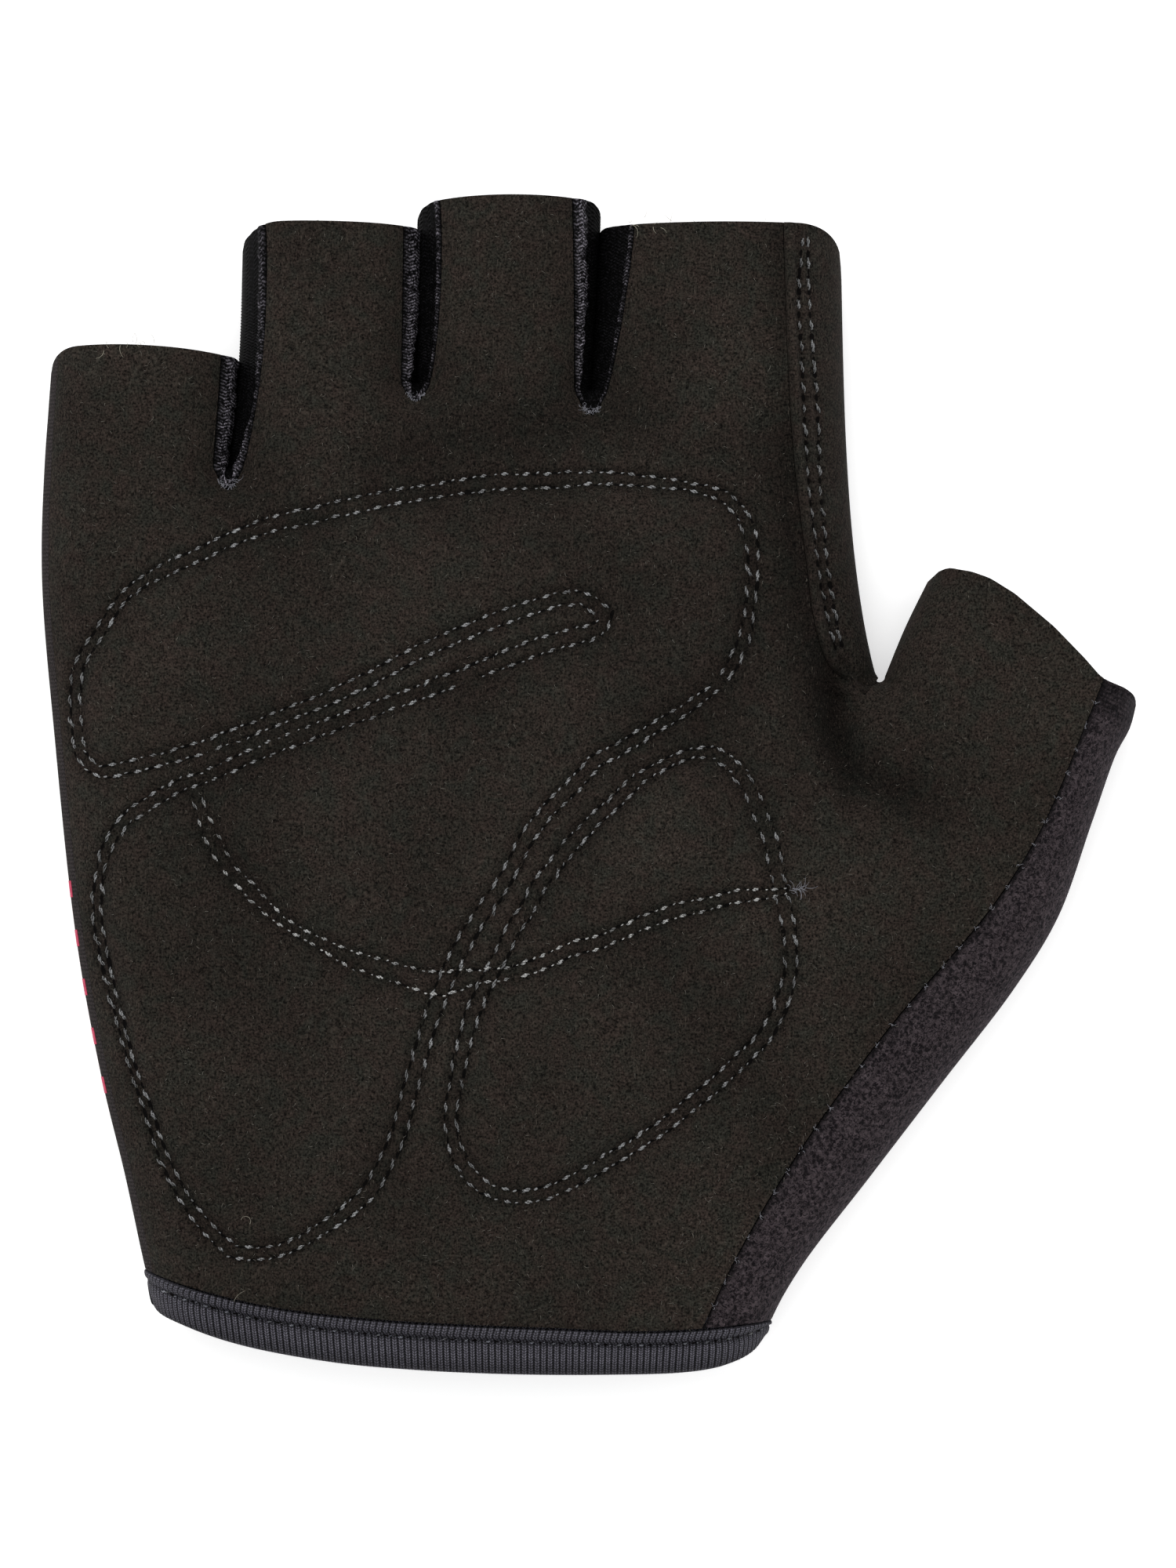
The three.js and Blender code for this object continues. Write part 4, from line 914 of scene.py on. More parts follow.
# Hand, fingers and thumb
layout = {
    "knuckleLittle": 34.0, "knuckleIndex": 44.0,  # top of the hand's rows at both sides
    "cuffLittle": -61.9, "cuffThumb": -68.6,      # where the cuff begins on the side edges
    "rootRows": 14,          # the hand's rows up to the thumb's crotch, of 21
    "handRows": 21,
    "cuffRows": 14,          # fine rows over which the hand is fitted to the cuff
    "fineRows": 10 // quality,
    "fingerRows": 48 // quality,
    "palmColumns": 44 // quality,
    "thumbColumns": 56 // quality,
    "backColumns": 24 // quality,
    "cuffShares": [0, 0.24, 0.5, 0.75, 1],
    # Degrees round the thumb's crotch at which the panels meet it
    "crotchPalm": -130, "crotchBack": -133, "crotchSide": -131.5, "crotchUnder": -112, "crotchRise": -50,
}
# Finger hems: heights at both sides, the bow between, and the round corners down and in
fingerKeys = ("left", "right", "bow", "leftDrop", "leftIn", "rightDrop", "rightIn")
fingers = [dict(zip(fingerKeys, values)) for values in (
    (55.2, 54.1, 0.9, 3.4, 4, 0.9, 1.8),
    (71.2, 70.7, 0.3, 4, 5, 1.1, 1.9),
    (73.7, 73.9, 0.8, 2.4, 2.5, 1.9, 1.5),
    (70.7, 70.8, 0.4, 0.8, 1.5, 4.9, 6),
)]
thumbTip = {
    "inner": 25.7, "outer": 9.6,
    # Along the hem's chord: height over it, before both ends are rounded off
    "hem": [(0, 2.5), (0.063, 3), (0.13, 3.8), (0.21, 4.3), (0.33, 4.3), (0.54, 3.4), (0.72, 2.1),
            (0.81, 1.3), (0.85, 1.25), (0.92, 1.5), (1, 1.2)],
    "roundIn": 0.06, "roundOut": 0.05,
    # For each of its coarse rows: share of the knit seam's length, and share of the hem's bow
    "rows": [(0, 0), (14, 0.78), (15, 0.81), (16, 0.835), (17, 0.86), (18, 0.895), (19, 0.93), (20, 0.965),
             (21, 1)],
    "bows": [(0, 0), (16, 0), (17, 0.05), (18, 0.2), (19, 0.45), (20, 0.75), (21, 1)],
    "knitSeam": [(14.8, -69.2), (19.5, -59.4), (27.2, -46.5), (38.7, -30.7), (51.1, -16.2), (57.8, -5.8),
                 (63.4, 7.4), (65.8, 13.3)],
    "lag": 5.0,              # how far the outer edge's rows fall behind the seam's, halfway up
    "root": [(9.4, -69.3), (18.4, -35.1), (28.4, -5.1)],
    # The index finger's side panel: height in the plan, and how far it laps in over the palm there
    "lap": [(12.9, 2.4), (14.2, 4.0), (16, 5.4), (20, 6.2), (30, 6.3), (44, 6.9), (72, 7.6)],
}
cuffUpper = [(-58, -61.2), (-51.3, -63.5), (-41, -66.1), (-26.3, -67.9), (-4.1, -69), (9, -69.4),
             (26, -68.2)]


def lookUp(table, at):
    # Straight between a table's rows
    table = np.array(table, float)
    return np.interp(at, table[:, 0], table[:, 1])


def smoothLookUp(points):
    # A curve through the points, read at its first measure
    line = curveThrough(points, 0.3)
    return lambda at: np.interp(at, line[:, 0], line[:, 1])


cuffHeight = smoothLookUp(cuffUpper)
lapAt = smoothLookUp(thumbTip["lap"])

hemSteps = np.linspace(0, 1, 400)
hemHeights = lookUp(thumbTip["hem"], hemSteps)
hemHeights = np.convolve(np.pad(hemHeights, 10, "edge"), np.hanning(21) / np.hanning(21).sum(), "valid")


def hemOut(along):
    # The hem's height over its chord, rounded to the side edges at both ends
    rounded = quarterRound(along / thumbTip["roundIn"]) * quarterRound((1 - along) / thumbTip["roundOut"])
    return np.interp(along, hemSteps, hemHeights) * rounded


def fingerHem(number):
    # Straight between its heights at both sides, plus the bow, less what its rounded corners drop
    finger = fingers[number]
    leftEdge = little if number == 0 else gaps[number - 1]["rightEdge"]
    rightEdge = index if number == 3 else gaps[number]["leftEdge"]
    left = stationAt(leftEdge, finger["left"] - finger["leftDrop"])[0]
    right = stationAt(rightEdge, finger["right"] - finger["rightDrop"])[0]

    def height(x):
        share = clamp01((x - left) / (right - left))
        top = mix(finger["left"], finger["right"], share) + finger["bow"] * hump(share)
        top -= finger["leftDrop"] * (1 - fullRound((x - left) / finger["leftIn"]))
        return top - finger["rightDrop"] * (1 - fullRound((right - x) / finger["rightIn"]))

    return height


hems = [fingerHem(number) for number in range(4)]
leftEnds = [finger["left"] - finger["leftDrop"] for finger in fingers]
rightEnds = [finger["right"] - finger["rightDrop"] for finger in fingers]


def evenStations(stations, reach, count):
    # Evenly spaced along the line at that reach beside them, with their other columns carried along
    line = resample(np.column_stack([beside(stations[:, :4], reach), stations]), count)[:, 2:]
    line[:, 2:4] /= np.linalg.norm(line[:, 2:4], axis=1, keepdims=True)
    return line


def gapStations(number, toRight, count):
    # From the foot of a V round the turn and up one side, with the front seam's reach as a fifth column
    gap = gaps[number]
    edge = gap["rightEdge" if toRight else "leftEdge"]
    top = leftEnds[number + 1] if toRight else rightEnds[number]
    turn = np.linspace(-90, 0, 10) if toRight else np.linspace(-90, -180, 10)
    arc = footStations(gap["foot"], outline["footRadius"], turn)
    heights = np.linspace(gap["foot"][1], top, 60)[1:]
    line = np.vstack([arc, stationAt(edge, heights)])
    up = clamp01((line[:, 1] - gap["foot"][1]) / (top - gap["foot"][1]))
    reach = mix(gap["footReach"], gap["rightReach" if toRight else "leftReach"], up)
    downward = np.degrees(np.arctan2(line[:, 3], line[:, 2])) + 90
    point = gap["point"] * bell(downward / outline["pointTurn"])
    swell = toRight * gap["swell"] * np.sin(math.pi * up) ** 0.6
    reach = reach + point + swell
    return evenStations(np.column_stack([line, reach]), reach, count)


def edgeStations(edge, low, high, count):
    # Evenly spaced up an edge between two heights
    return stationAt(edge, np.linspace(low, high, count))


fine = layout["fineRows"]
handCount = layout["handRows"] * fine + 1
rootCount = layout["rootRows"] * fine + 1
fingerCount = layout["fingerRows"] + 1
littleRows = edgeStations(little, layout["cuffLittle"], layout["knuckleLittle"], handCount)
littleTip = edgeStations(little, layout["knuckleLittle"], leftEnds[0], fingerCount)
indexRows = edgeStations(index, crotch[1], layout["knuckleIndex"], handCount - rootCount + 1)[1:]
indexTip = edgeStations(index, layout["knuckleIndex"], rightEnds[3], fingerCount)
# Sides of the fingers on the strips: three at the left of a finger, three at the right of one
leftLines = [gapStations(number, True, fingerCount) for number in range(3)]
rightLines = [gapStations(number, False, fingerCount) for number in range(3)]


def crotchStation(degrees):
    # Round the thumb's crotch: its lowest place is at -90, the thumb's edge begins at 0
    return footStations(crotch, outline["crotchRadius"], np.asarray(degrees, float))


def rootLine(end, shift):
    # The hand's last column below the crotch, from the cuff up to a point beside the crotch
    line = curveThrough([*thumbTip["root"], tuple(end)], 0.2)
    line = resample(line, rootCount)
    line[:-1, 0] += shift
    line[0, 1] = cuffHeight(line[0, 0])
    return line


def handGrids(columns, left, right, fingerLeft, fingerRight):
    # The hand is a patch between four sides: cuff and finger feet mixed up the hand, plus what its left and
    # right pull away from straight. Each finger above is ruled between its sides, with its rows eased to
    # the hem
    shares = np.linspace(0, 1, columns + 1)
    feet = [line[0] for line in fingerLeft] + [fingerRight[3][0]]
    cuts = layout["cuffShares"]
    cuffShare = np.concatenate([mix(cuts[f], cuts[f + 1], shares[f > 0:]) for f in range(4)])
    evenShare = np.concatenate([(f + shares[f > 0:]) / 4 for f in range(4)])
    top = np.concatenate([mix(feet[f], feet[f + 1], shares[f > 0:, None]) for f in range(4)])
    bottomX = mix(left[0, 0], right[0, 0], cuffShare)
    bottom = np.column_stack([bottomX, cuffHeight(bottomX)])
    up = np.linspace(0, 1, len(left))[:, None, None]
    straight = mix(bottom, top, up)
    pullLeft = left[:, None] - straight[:, :1]
    pullRight = right[:, None] - straight[:, -1:]
    hand = straight + mix(pullLeft, pullRight, evenShare[:, None])
    fade = clamp01(1 - np.arange(len(hand))[:, None] / layout["cuffRows"]) ** 2
    hand[..., 1] += fade * (cuffHeight(hand[0, :, 0]) - hand[0, :, 1])
    grids = [hand]
    for f in range(4):
        start, end = fingerLeft[f], fingerRight[f]
        grid = mix(start[:, None], end[:, None], shares[:, None])
        grid[0] = hand[-1, f * columns:(f + 1) * columns + 1]
        rise = hems[f](grid[-1, :, 0]) - grid[-1, :, 1]
        grid[..., 1] += rise * np.linspace(0, 1, len(grid))[:, None] ** 2
        grids.append(grid)
    return grids


# The thumb's hem bows out from the chord between its two side edges
thumbLeft = stationAt(thumbInner, thumbTip["inner"])[:2]
thumbRight = stationAt(thumbOuter, thumbTip["outer"])[:2]
chordLength = np.linalg.norm(thumbRight - thumbLeft)
chordOut = np.array([thumbLeft[1] - thumbRight[1], thumbRight[0] - thumbLeft[0]]) / chordLength

# Fine rows of the thumb, as places among its 21 coarse rows
thumbSteps = [fine] * layout["rootRows"] + [4 // quality] * 4 + [8 // quality] * 3
thumbPlaces = np.concatenate([[0.0], *(row + np.arange(1, n + 1) / n for row, n in enumerate(thumbSteps))])
thumbUp = lookUp(thumbTip["rows"], thumbPlaces)
thumbBow = lookUp(thumbTip["bows"], thumbPlaces)
seamLine = curveThrough(thumbTip["knitSeam"], 0.2)
seamRun = runOf(seamLine) / runOf(seamLine)[-1]
seamPoints = np.stack([np.interp(thumbUp, seamRun, seamLine[:, k]) for k in range(2)], axis=1)
seamAlong = (seamPoints[-1, 0] - thumbLeft[0]) / (thumbRight[0] - thumbLeft[0])


def thumbInnerLine(root, reach):
    # The root line, then round the crotch in four coarse rows and up the thumb's inner edge in three
    places = thumbPlaces[rootCount:]
    first = beside(crotchStation(layout["crotchPalm"]), reach)
    turn = np.interp(places, [15, 17, 18], [layout["crotchPalm"], layout["crotchRise"], 0])
    line = beside(crotchStation(turn), reach)
    across = places < 15
    line[across] = mix(root[-1], first, (places[across] - 14)[:, None])
    above = places > 18
    heights = mix(crotch[1], thumbTip["inner"], (places[above] - 18) / 3)
    line[above] = beside(stationAt(thumbInner, heights), reach)
    return np.vstack([root, line])


def bowed(start, end, shares, alongFrom, alongTo, bow):
    # Straight from start to end, plus the row's share of the hem's bow over the straight line
    plan = mix(start[:, None], end[:, None], shares[:, None])
    out = hemOut(mix(alongFrom, alongTo, shares)) - mix(hemOut(alongFrom), hemOut(alongTo), shares)
    return plan + out[:, None] * bow[:, None, None] * chordOut


def makePalm():
    # Hand, four finger fronts and the thumb's front, each from seam to seam, with their painted shade and
    # light
    seam = glove["seamGap"] / 2
    leftReach = reachOf(glove["littleWrap"]) + glove["turnedSeam"]
    past = [beside(littleTip, leftReach), *(beside(line[:, :4], line[:, 4] + seam) for line in leftLines)]
    pastRight = [beside(line[:, :4], line[:, 4] + seam) for line in rightLines]
    pastRight.append(beside(indexTip, lapAt(indexTip[:, 1]) + seam))
    root = rootLine(beside(crotchStation(layout["crotchPalm"]), thumbTip["lap"][0][1] + seam), 0)
    right = np.vstack([root, beside(indexRows, lapAt(indexRows[:, 1]) + seam)])
    grids = handGrids(layout["palmColumns"], beside(littleRows, leftReach), right, past, pastRight)
    shares = np.linspace(0, 1, layout["thumbColumns"] + 1)
    thumb = bowed(thumbInnerLine(root, 0.0), seamPoints, shares, 0, seamAlong, thumbBow)
    thumb[0, :, 1] = cuffHeight(thumb[0, :, 0])
    plans = [*grids, thumb]
    walls = [wall(grid, 1, glove["suedeWall"]) for grid in plans]
    return walls, [sampleBoard(palmTone, grid) for grid in plans]


palmWalls, palmTones = makePalm()
# The hand's right side is open above the root line, and the thumb's left side beyond it
for block in ("outer", "inner"):
    hand = palmWalls[0][block]
    palmWalls[5][block][:rootCount, 0] = hand[:rootCount, -1]


def cutRows(grid, rows):
    # The same wall with some of its rows
    return {key: value[rows] for key, value in grid.items()}


def makePalmMesh():
    # The hand is cut in two at the crotch so that only its upper right side gets a rim, and so is the thumb
    low, high = slice(0, rootCount), slice(rootCount - 1, None)
    hand, thumb = palmWalls[0], palmWalls[5]
    grids = [cutRows(hand, low), cutRows(hand, high), *palmWalls[1:5]]
    grids += [cutRows(thumb, low), cutRows(thumb, high)]
    tones = [palmTones[0][low], palmTones[0][high], *palmTones[1:5], palmTones[5][low], palmTones[5][high]]
    rims = [(0, "bottom"), (0, "left"), (1, "left"), (1, "right")]
    rims += [(f + 2, side) for f in range(4) for side in ("left", "top", "right")]
    rims += [(6, "bottom"), (6, "right"), (7, "left"), (7, "top"), (7, "right")]
    return makePanel("palmSuede", grids, rims, suedeMaterial, tone=tones)


palm = makePalmMesh()
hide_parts("palm_panel")
print("palm ready", len(palm.data.polygons))


sidePanel = {
    "ridgeLift": 1.0,        # rolled edge above the palm
    "ridgeRadius": 0.8,
    "settle": 1.7,           # length over which it comes down to the finger, and what is left there
    "settledShare": 0.1,
    "valley": 0.3,           # soft line behind the roll: depth, place, half width
    "valleyPlace": 1.5,
    "valleyWidth": 0.4,
    "sunkEnd": 1.1,          # how far its end dives in at the thumb's crotch, and over what length
    "sunkLength": 3.2,
    "hemLift": 0.6,          # what is left of the lift at the hem, and over what part of the length
    "hemPart": 0.035,
    "sewnDepth": 0.25,       # how far the stitches pull it in, how broadly, and how much painted shade lies along them
    "sewnWidth": 0.5,
    "sewnTone": 0.45,
    "lineTone": 0.25,        # how much painted shade lies in the soft line and at the very edge
    "tones": (0.92, 1.12),   # darker at the foot and lighter at the top
    "endTone": 0.8,          # painted shade at the thumb's crotch and round the finger's side, and a little darker on its back
    "sideTone": 0.74,
    "backTone": 0.9,
    "ahead": [1.5, 0.1],     # two columns of the allowance, ahead of the edge
    "rows": 170 // quality // 2 * 2 + 1,
    "columns": 36 // quality,
    "backColumns": 12 // quality,
}


def foldLift(toRidge):
    # Height over the palm at a distance from the rolled edge: a quarter circle, then an easing down
    roll = quarterRound(toRidge / sidePanel["ridgeRadius"])
    toRidge = np.maximum(0, toRidge)
    settle = np.exp(-np.maximum(0, toRidge - sidePanel["ridgeRadius"]) / sidePanel["settle"])
    valley = sidePanel["valley"] * bell((toRidge - sidePanel["valleyPlace"]) / sidePanel["valleyWidth"])
    return sidePanel["ridgeLift"] * roll * mix(sidePanel["settledShare"], 1.0, settle) - valley


def makeSidePanel():
    # Suede rolled at its front edge and lapped over the palm, then round the index finger's side. Columns go
    # from the allowance ahead of the roll, over the side edge, to the back's seam
    first = crotchStation([layout["crotchUnder"], layout["crotchSide"]])
    stations = np.vstack([first, indexRows, indexTip[1:]])
    lap = lapAt(stations[:, 1])
    lap[:2] = thumbTip["lap"][0][1]
    stations = evenStations(np.column_stack([stations, lap]), lap, sidePanel["rows"])
    lap = stations[:, 4:]
    nearRidge = [1.0, 0.998, 0.99, 0.975, 0.955, 0.93]
    frontShares = np.concatenate([nearRidge, np.linspace(0.9, 0, sidePanel["columns"] - 5)])
    backAngles = np.linspace(0, glove["sidePanelBack"], sidePanel["backColumns"] + 1)[1:]
    seam = glove["seamGap"] / 2
    backReach = np.repeat(reachOf(backAngles)[None] - seam, len(stations), axis=0)
    reach = np.column_stack([lap + sidePanel["ahead"], (lap - seam) * frontShares, backReach])
    side = np.concatenate([np.ones(len(frontShares) + 2), -np.ones(len(backAngles))])
    plan = beside(stations[:, None, :4], reach)
    rise = hems[3](plan[-1, :, 0]) - plan[-1, :, 1]
    upward = np.linspace(0, 1, len(plan))[:, None]
    plan[..., 1] += rise * clamp01((upward - (1 - glove["hemEase"])) / glove["hemEase"]) ** 2
    # How near each place is to the two rows of stitches
    away = np.full(plan.shape[:2], 9.0)
    for row in sideRows:
        gapTo = np.sqrt(((plan[:, :, None] - row[None, None, ::6]) ** 2).sum(-1)).min(-1)
        away = np.minimum(away, gapTo)
    sewn = bell(away / sidePanel["sewnWidth"])
    toRidge = lap - reach
    run = runOf(stations)[:, None]
    share = run / run[-1]
    sunk = sidePanel["sunkEnd"] * (1 - smooth(run / sidePanel["sunkLength"]))
    toHem = smooth((share - (1 - sidePanel["hemPart"])) / sidePanel["hemPart"])
    lift = foldLift(toRidge) * mix(1, sidePanel["hemLift"], toHem)
    lift = np.where(side > 0, lift - sidePanel["sewnDepth"] * sewn - sunk * smooth(reach / 1.8), 0.0)
    # Painted shade along the stitch rows, in the soft line behind the roll, at the very edge, at the thumb's
    # crotch and round the finger's side
    valley = sidePanel["lineTone"] * bell((toRidge - sidePanel["valleyPlace"]) / 0.45)
    edge = sidePanel["lineTone"] * bell(toRidge / 0.7)
    tone = (1 - sidePanel["sewnTone"] * sewn) * (1 - valley) * (1 - edge)
    tone = tone * mix(*sidePanel["tones"], smooth((plan[..., 1] - 14) / 50))
    tone = tone * mix(sidePanel["endTone"], 1, smooth(run / 7))
    tone = tone * mix(1, sidePanel["sideTone"], smooth((6.5 - reach) / 5))
    tone = np.where(side > 0, tone, sidePanel["backTone"])
    # Below the palm at the front edge and at the thumb's crotch, as a thin seam allowance
    ahead = np.degrees(np.arctan2(stations[:, 3:4], stations[:, 2:3])) > layout["crotchSide"] + 0.5
    under = (np.arange(plan.shape[1]) < 2) | (ahead & (stations[:, 1:2] < crotch[1] - 0.1))
    under = under & (side > 0)
    deep = 0.2 + (glove["suedeWall"] - 0.05) * smooth(reach / 2.5)
    lift = np.where(under, -deep, lift)
    thickness = np.where(under, glove["allowance"], glove["suedeWall"])
    walls = wall(plan, side, thickness, lift, thumbEdges + gaps[2]["edges"])
    return makePanel("indexSideSuede", [walls], allRims, suedeMaterial, flip=True, tone=[tone])


sidePiece = makeSidePanel()
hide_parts("index_side_panel")
print("side panel ready")


def makeBack():
    # Hand and four finger backs from seam to seam, then the strip that goes on round the little finger's
    # edge to the palm side, with the side that each of its columns is on
    seam = glove["seamGap"] / 2
    wrapReach = reachOf(glove["backWrap"])
    sideReach = reachOf(glove["sidePanelBack"]) + seam
    stripReach = stripBackReach + seam
    past = [beside(littleTip, wrapReach), *(beside(line[:, :4], stripReach) for line in leftLines)]
    pastRight = [beside(line[:, :4], stripReach) for line in rightLines]
    pastRight.append(beside(indexTip, sideReach))
    root = rootLine(beside(crotchStation(layout["crotchBack"]), sideReach + glove["seamGap"]), -seam)
    right = np.vstack([root, beside(indexRows, sideReach)])
    grids = handGrids(layout["backColumns"], beside(littleRows, wrapReach), right, past, pastRight)
    every = 2 // quality
    grids = [grid[::every] for grid in grids]
    stations = np.vstack([littleRows, littleTip[1:]])[::every]
    toPalm = np.linspace(-glove["littleWrap"], 0, 9)[:-1]
    turns = np.concatenate([[-46, -40], toPalm, np.linspace(0, glove["backWrap"], 13)])
    reach = np.broadcast_to(reachOf(turns), (len(stations), len(turns))).copy()
    reach[:, 2] -= glove["turnedSeam"]
    reach[:, 1] = reach[:, 2] + 0.03
    side = np.where(turns < 0, 1, -1)
    plan = beside(stations[:, None], reach)
    plan[0, :, 1] = cuffHeight(plan[0, :, 0])
    rise = hems[0](plan[-1, :, 0]) - plan[-1, :, 1]
    tip = fingerCount // every
    plan[-tip:, :, 1] += rise * np.linspace(0, 1, tip)[:, None] ** 2
    return [*grids, plan], side


backGrids, wrapSide = makeBack()
backWalls = [wall(grid, -1, glove["knitWall"]) for grid in backGrids[:-1]]
# Its first two columns are the seam allowance, turned in under the suede
wrapLift = np.zeros(backGrids[-1].shape[:2])
wrapLift[:, :2] = -glove["suedeWall"] - 0.15
wrapThick = np.full(wrapLift.shape, glove["knitWall"])
wrapThick[:, :2] = glove["allowance"]
wrapWall = wall(backGrids[-1], wrapSide, wrapThick, wrapLift)
handPart = len(backWalls[0]["outer"])
for block in ("outer", "inner"):
    wrapWall[block][:handPart, -1] = backWalls[0][block][:, 0]
    wrapWall[block][handPart - 1:, -1] = backWalls[1][block][:, 0]
backRims = [(0, "bottom"), (0, "right")]
backRims += [(f + 1, "top") for f in range(4)] + [(f + 1, "right") for f in range(4)]
backRims += [(f + 1, "left") for f in range(1, 4)] + [(5, "bottom"), (5, "top"), (5, "left")]
# Cloth millimetres: plan x and y, and round the side edge by the length of the curve
backUv = [grid.copy() for grid in backGrids[:-1]]
around = np.linalg.norm(np.diff(wrapWall["outer"], axis=1), axis=-1)
around = np.concatenate([np.cumsum(around[:, ::-1], axis=1)[:, ::-1], np.zeros((len(around), 1))], axis=1)
backUv.append(np.stack([wrapWall["outer"][:, -1:, 0] - around, wrapWall["outer"][..., 1]], axis=-1))
# Painted light where it shows beside the palm, on the part that curves away from the lamps
backTone = [np.ones(grid.shape[:2]) for grid in backGrids[:-1]]
paintedEdgeLight = mix(1.0, 1.7, smooth(np.linspace(1.4, -0.4, backGrids[-1].shape[1])))
backTone.append(np.broadcast_to(paintedEdgeLight, around.shape))
backPiece = makePanel("backKnit", [*backWalls, wrapWall], backRims, backKnitMaterial, flip=True, uv=backUv,
                      tone=backTone)
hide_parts("back_panel")
print("back ready", len(backPiece.data.polygons))


def makeThumbBack():
    # One grid round the thumb: front from the knit seam to the outer edge, round that edge, and back under
    # to the thumb's root and inner edge
    seam = glove["seamGap"]
    end = beside(crotchStation(layout["crotchPalm"]), reachOf(glove["sidePanelBack"]) + seam)
    inner = thumbInnerLine(rootLine(end, seam / 2), 0.02)
    seamFoot, seamTop = thumbTip["knitSeam"][0][1], thumbTip["knitSeam"][-1][1]
    up = (seamPoints[:, 1] - seamFoot) / (seamTop - seamFoot)
    heights = mix(layout["cuffThumb"], thumbTip["outer"], up) - thumbTip["lag"] * hump(up)
    stations = stationAt(thumbOuter, heights)
    start = seamPoints + np.array([seam * 0.8, -seam * 0.5])
    frontShares = np.sin(np.linspace(0, 1, 21)[:-1] * math.pi / 2)
    front = bowed(start, stations[:, :2], frontShares, seamAlong, 1, thumbBow)
    turns = np.linspace(0, 90, 13)
    plan = beside(stations[:, None], np.broadcast_to(reachOf(turns), (len(stations), len(turns))))
    out = hemOut(1 - reachOf(turns) / chordLength)
    plan = plan + out[:, None] * thumbBow[:, None, None] * chordOut
    flatAlong = 1 - glove["edgeRadius"] / chordLength
    under = bowed(plan[:, -1], inner, np.linspace(0, 1, 33)[1:], flatAlong, 0, thumbBow)
    grid = np.concatenate([front, plan, under], axis=1)
    grid[0, :, 1] = cuffHeight(grid[0, :, 0])
    side = np.concatenate([np.ones(len(frontShares)), -np.ones(len(turns) + 32)])
    return grid, side


thumbGrid, thumbSide = makeThumbBack()
thumbWall = wall(thumbGrid, thumbSide, glove["knitWall"], 0.0, thumbEdges)
# Painted shade in the seam beside the suede
fromSeam = np.linalg.norm(thumbGrid - thumbGrid[:, :1], axis=-1)
thumbTone = 1 - 0.9 * bell(fromSeam / 0.4)
toHem = np.linalg.norm(thumbGrid - thumbGrid[-1:], axis=-1)
thumbUv = np.stack([toHem, fromSeam], axis=-1)
thumbPiece = makePanel("thumbKnit", [thumbWall], allRims, thumbKnitMaterial, uv=[thumbUv], tone=[thumbTone])
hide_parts("thumb_back_panel")
print("thumb ready", thumbGrid.shape)

strip = {
    "ribDepth": 0.04,
    "ribLean": 1.2,              # how many ribs the pattern moves on over a millimetre across
    "beadLift": (0.5, 0.2),      # rolled edge by the seam, down the left side and up the right
    "beadWidths": [(1.6, 1.0), (1.75, 0.6), (1.6, 0.6)],
    "beadFoot": 0.42,            # how much of that width is left at the foot of the V
    "wander": 0.15,              # how unevenly the roll runs, and the lengths of its waves
    "wanderSizes": (1.2, 2.3, 4.1, 7.7),
    "closing": 0.36,             # how far the two sides bulge towards each other, and how broadly
    "closingReach": 0.9,
    "sewnDepth": 0.25,           # how far the front seam pulls it in
    "foldTone": 0.03,            # painted shade beside the roll, and where the strip goes on to the back
    "backTone": 0.14,
    "rightTone": 0.7,            # painted shade on the right side's roll, and at the foot of the V
    "footTone": 0.75,
    "pieces": [("littleRing", "fourchette_little_ring"), ("ringMiddle", "fourchette_ring_middle"),
               ("middleIndex", "fourchette_middle_index")],
}


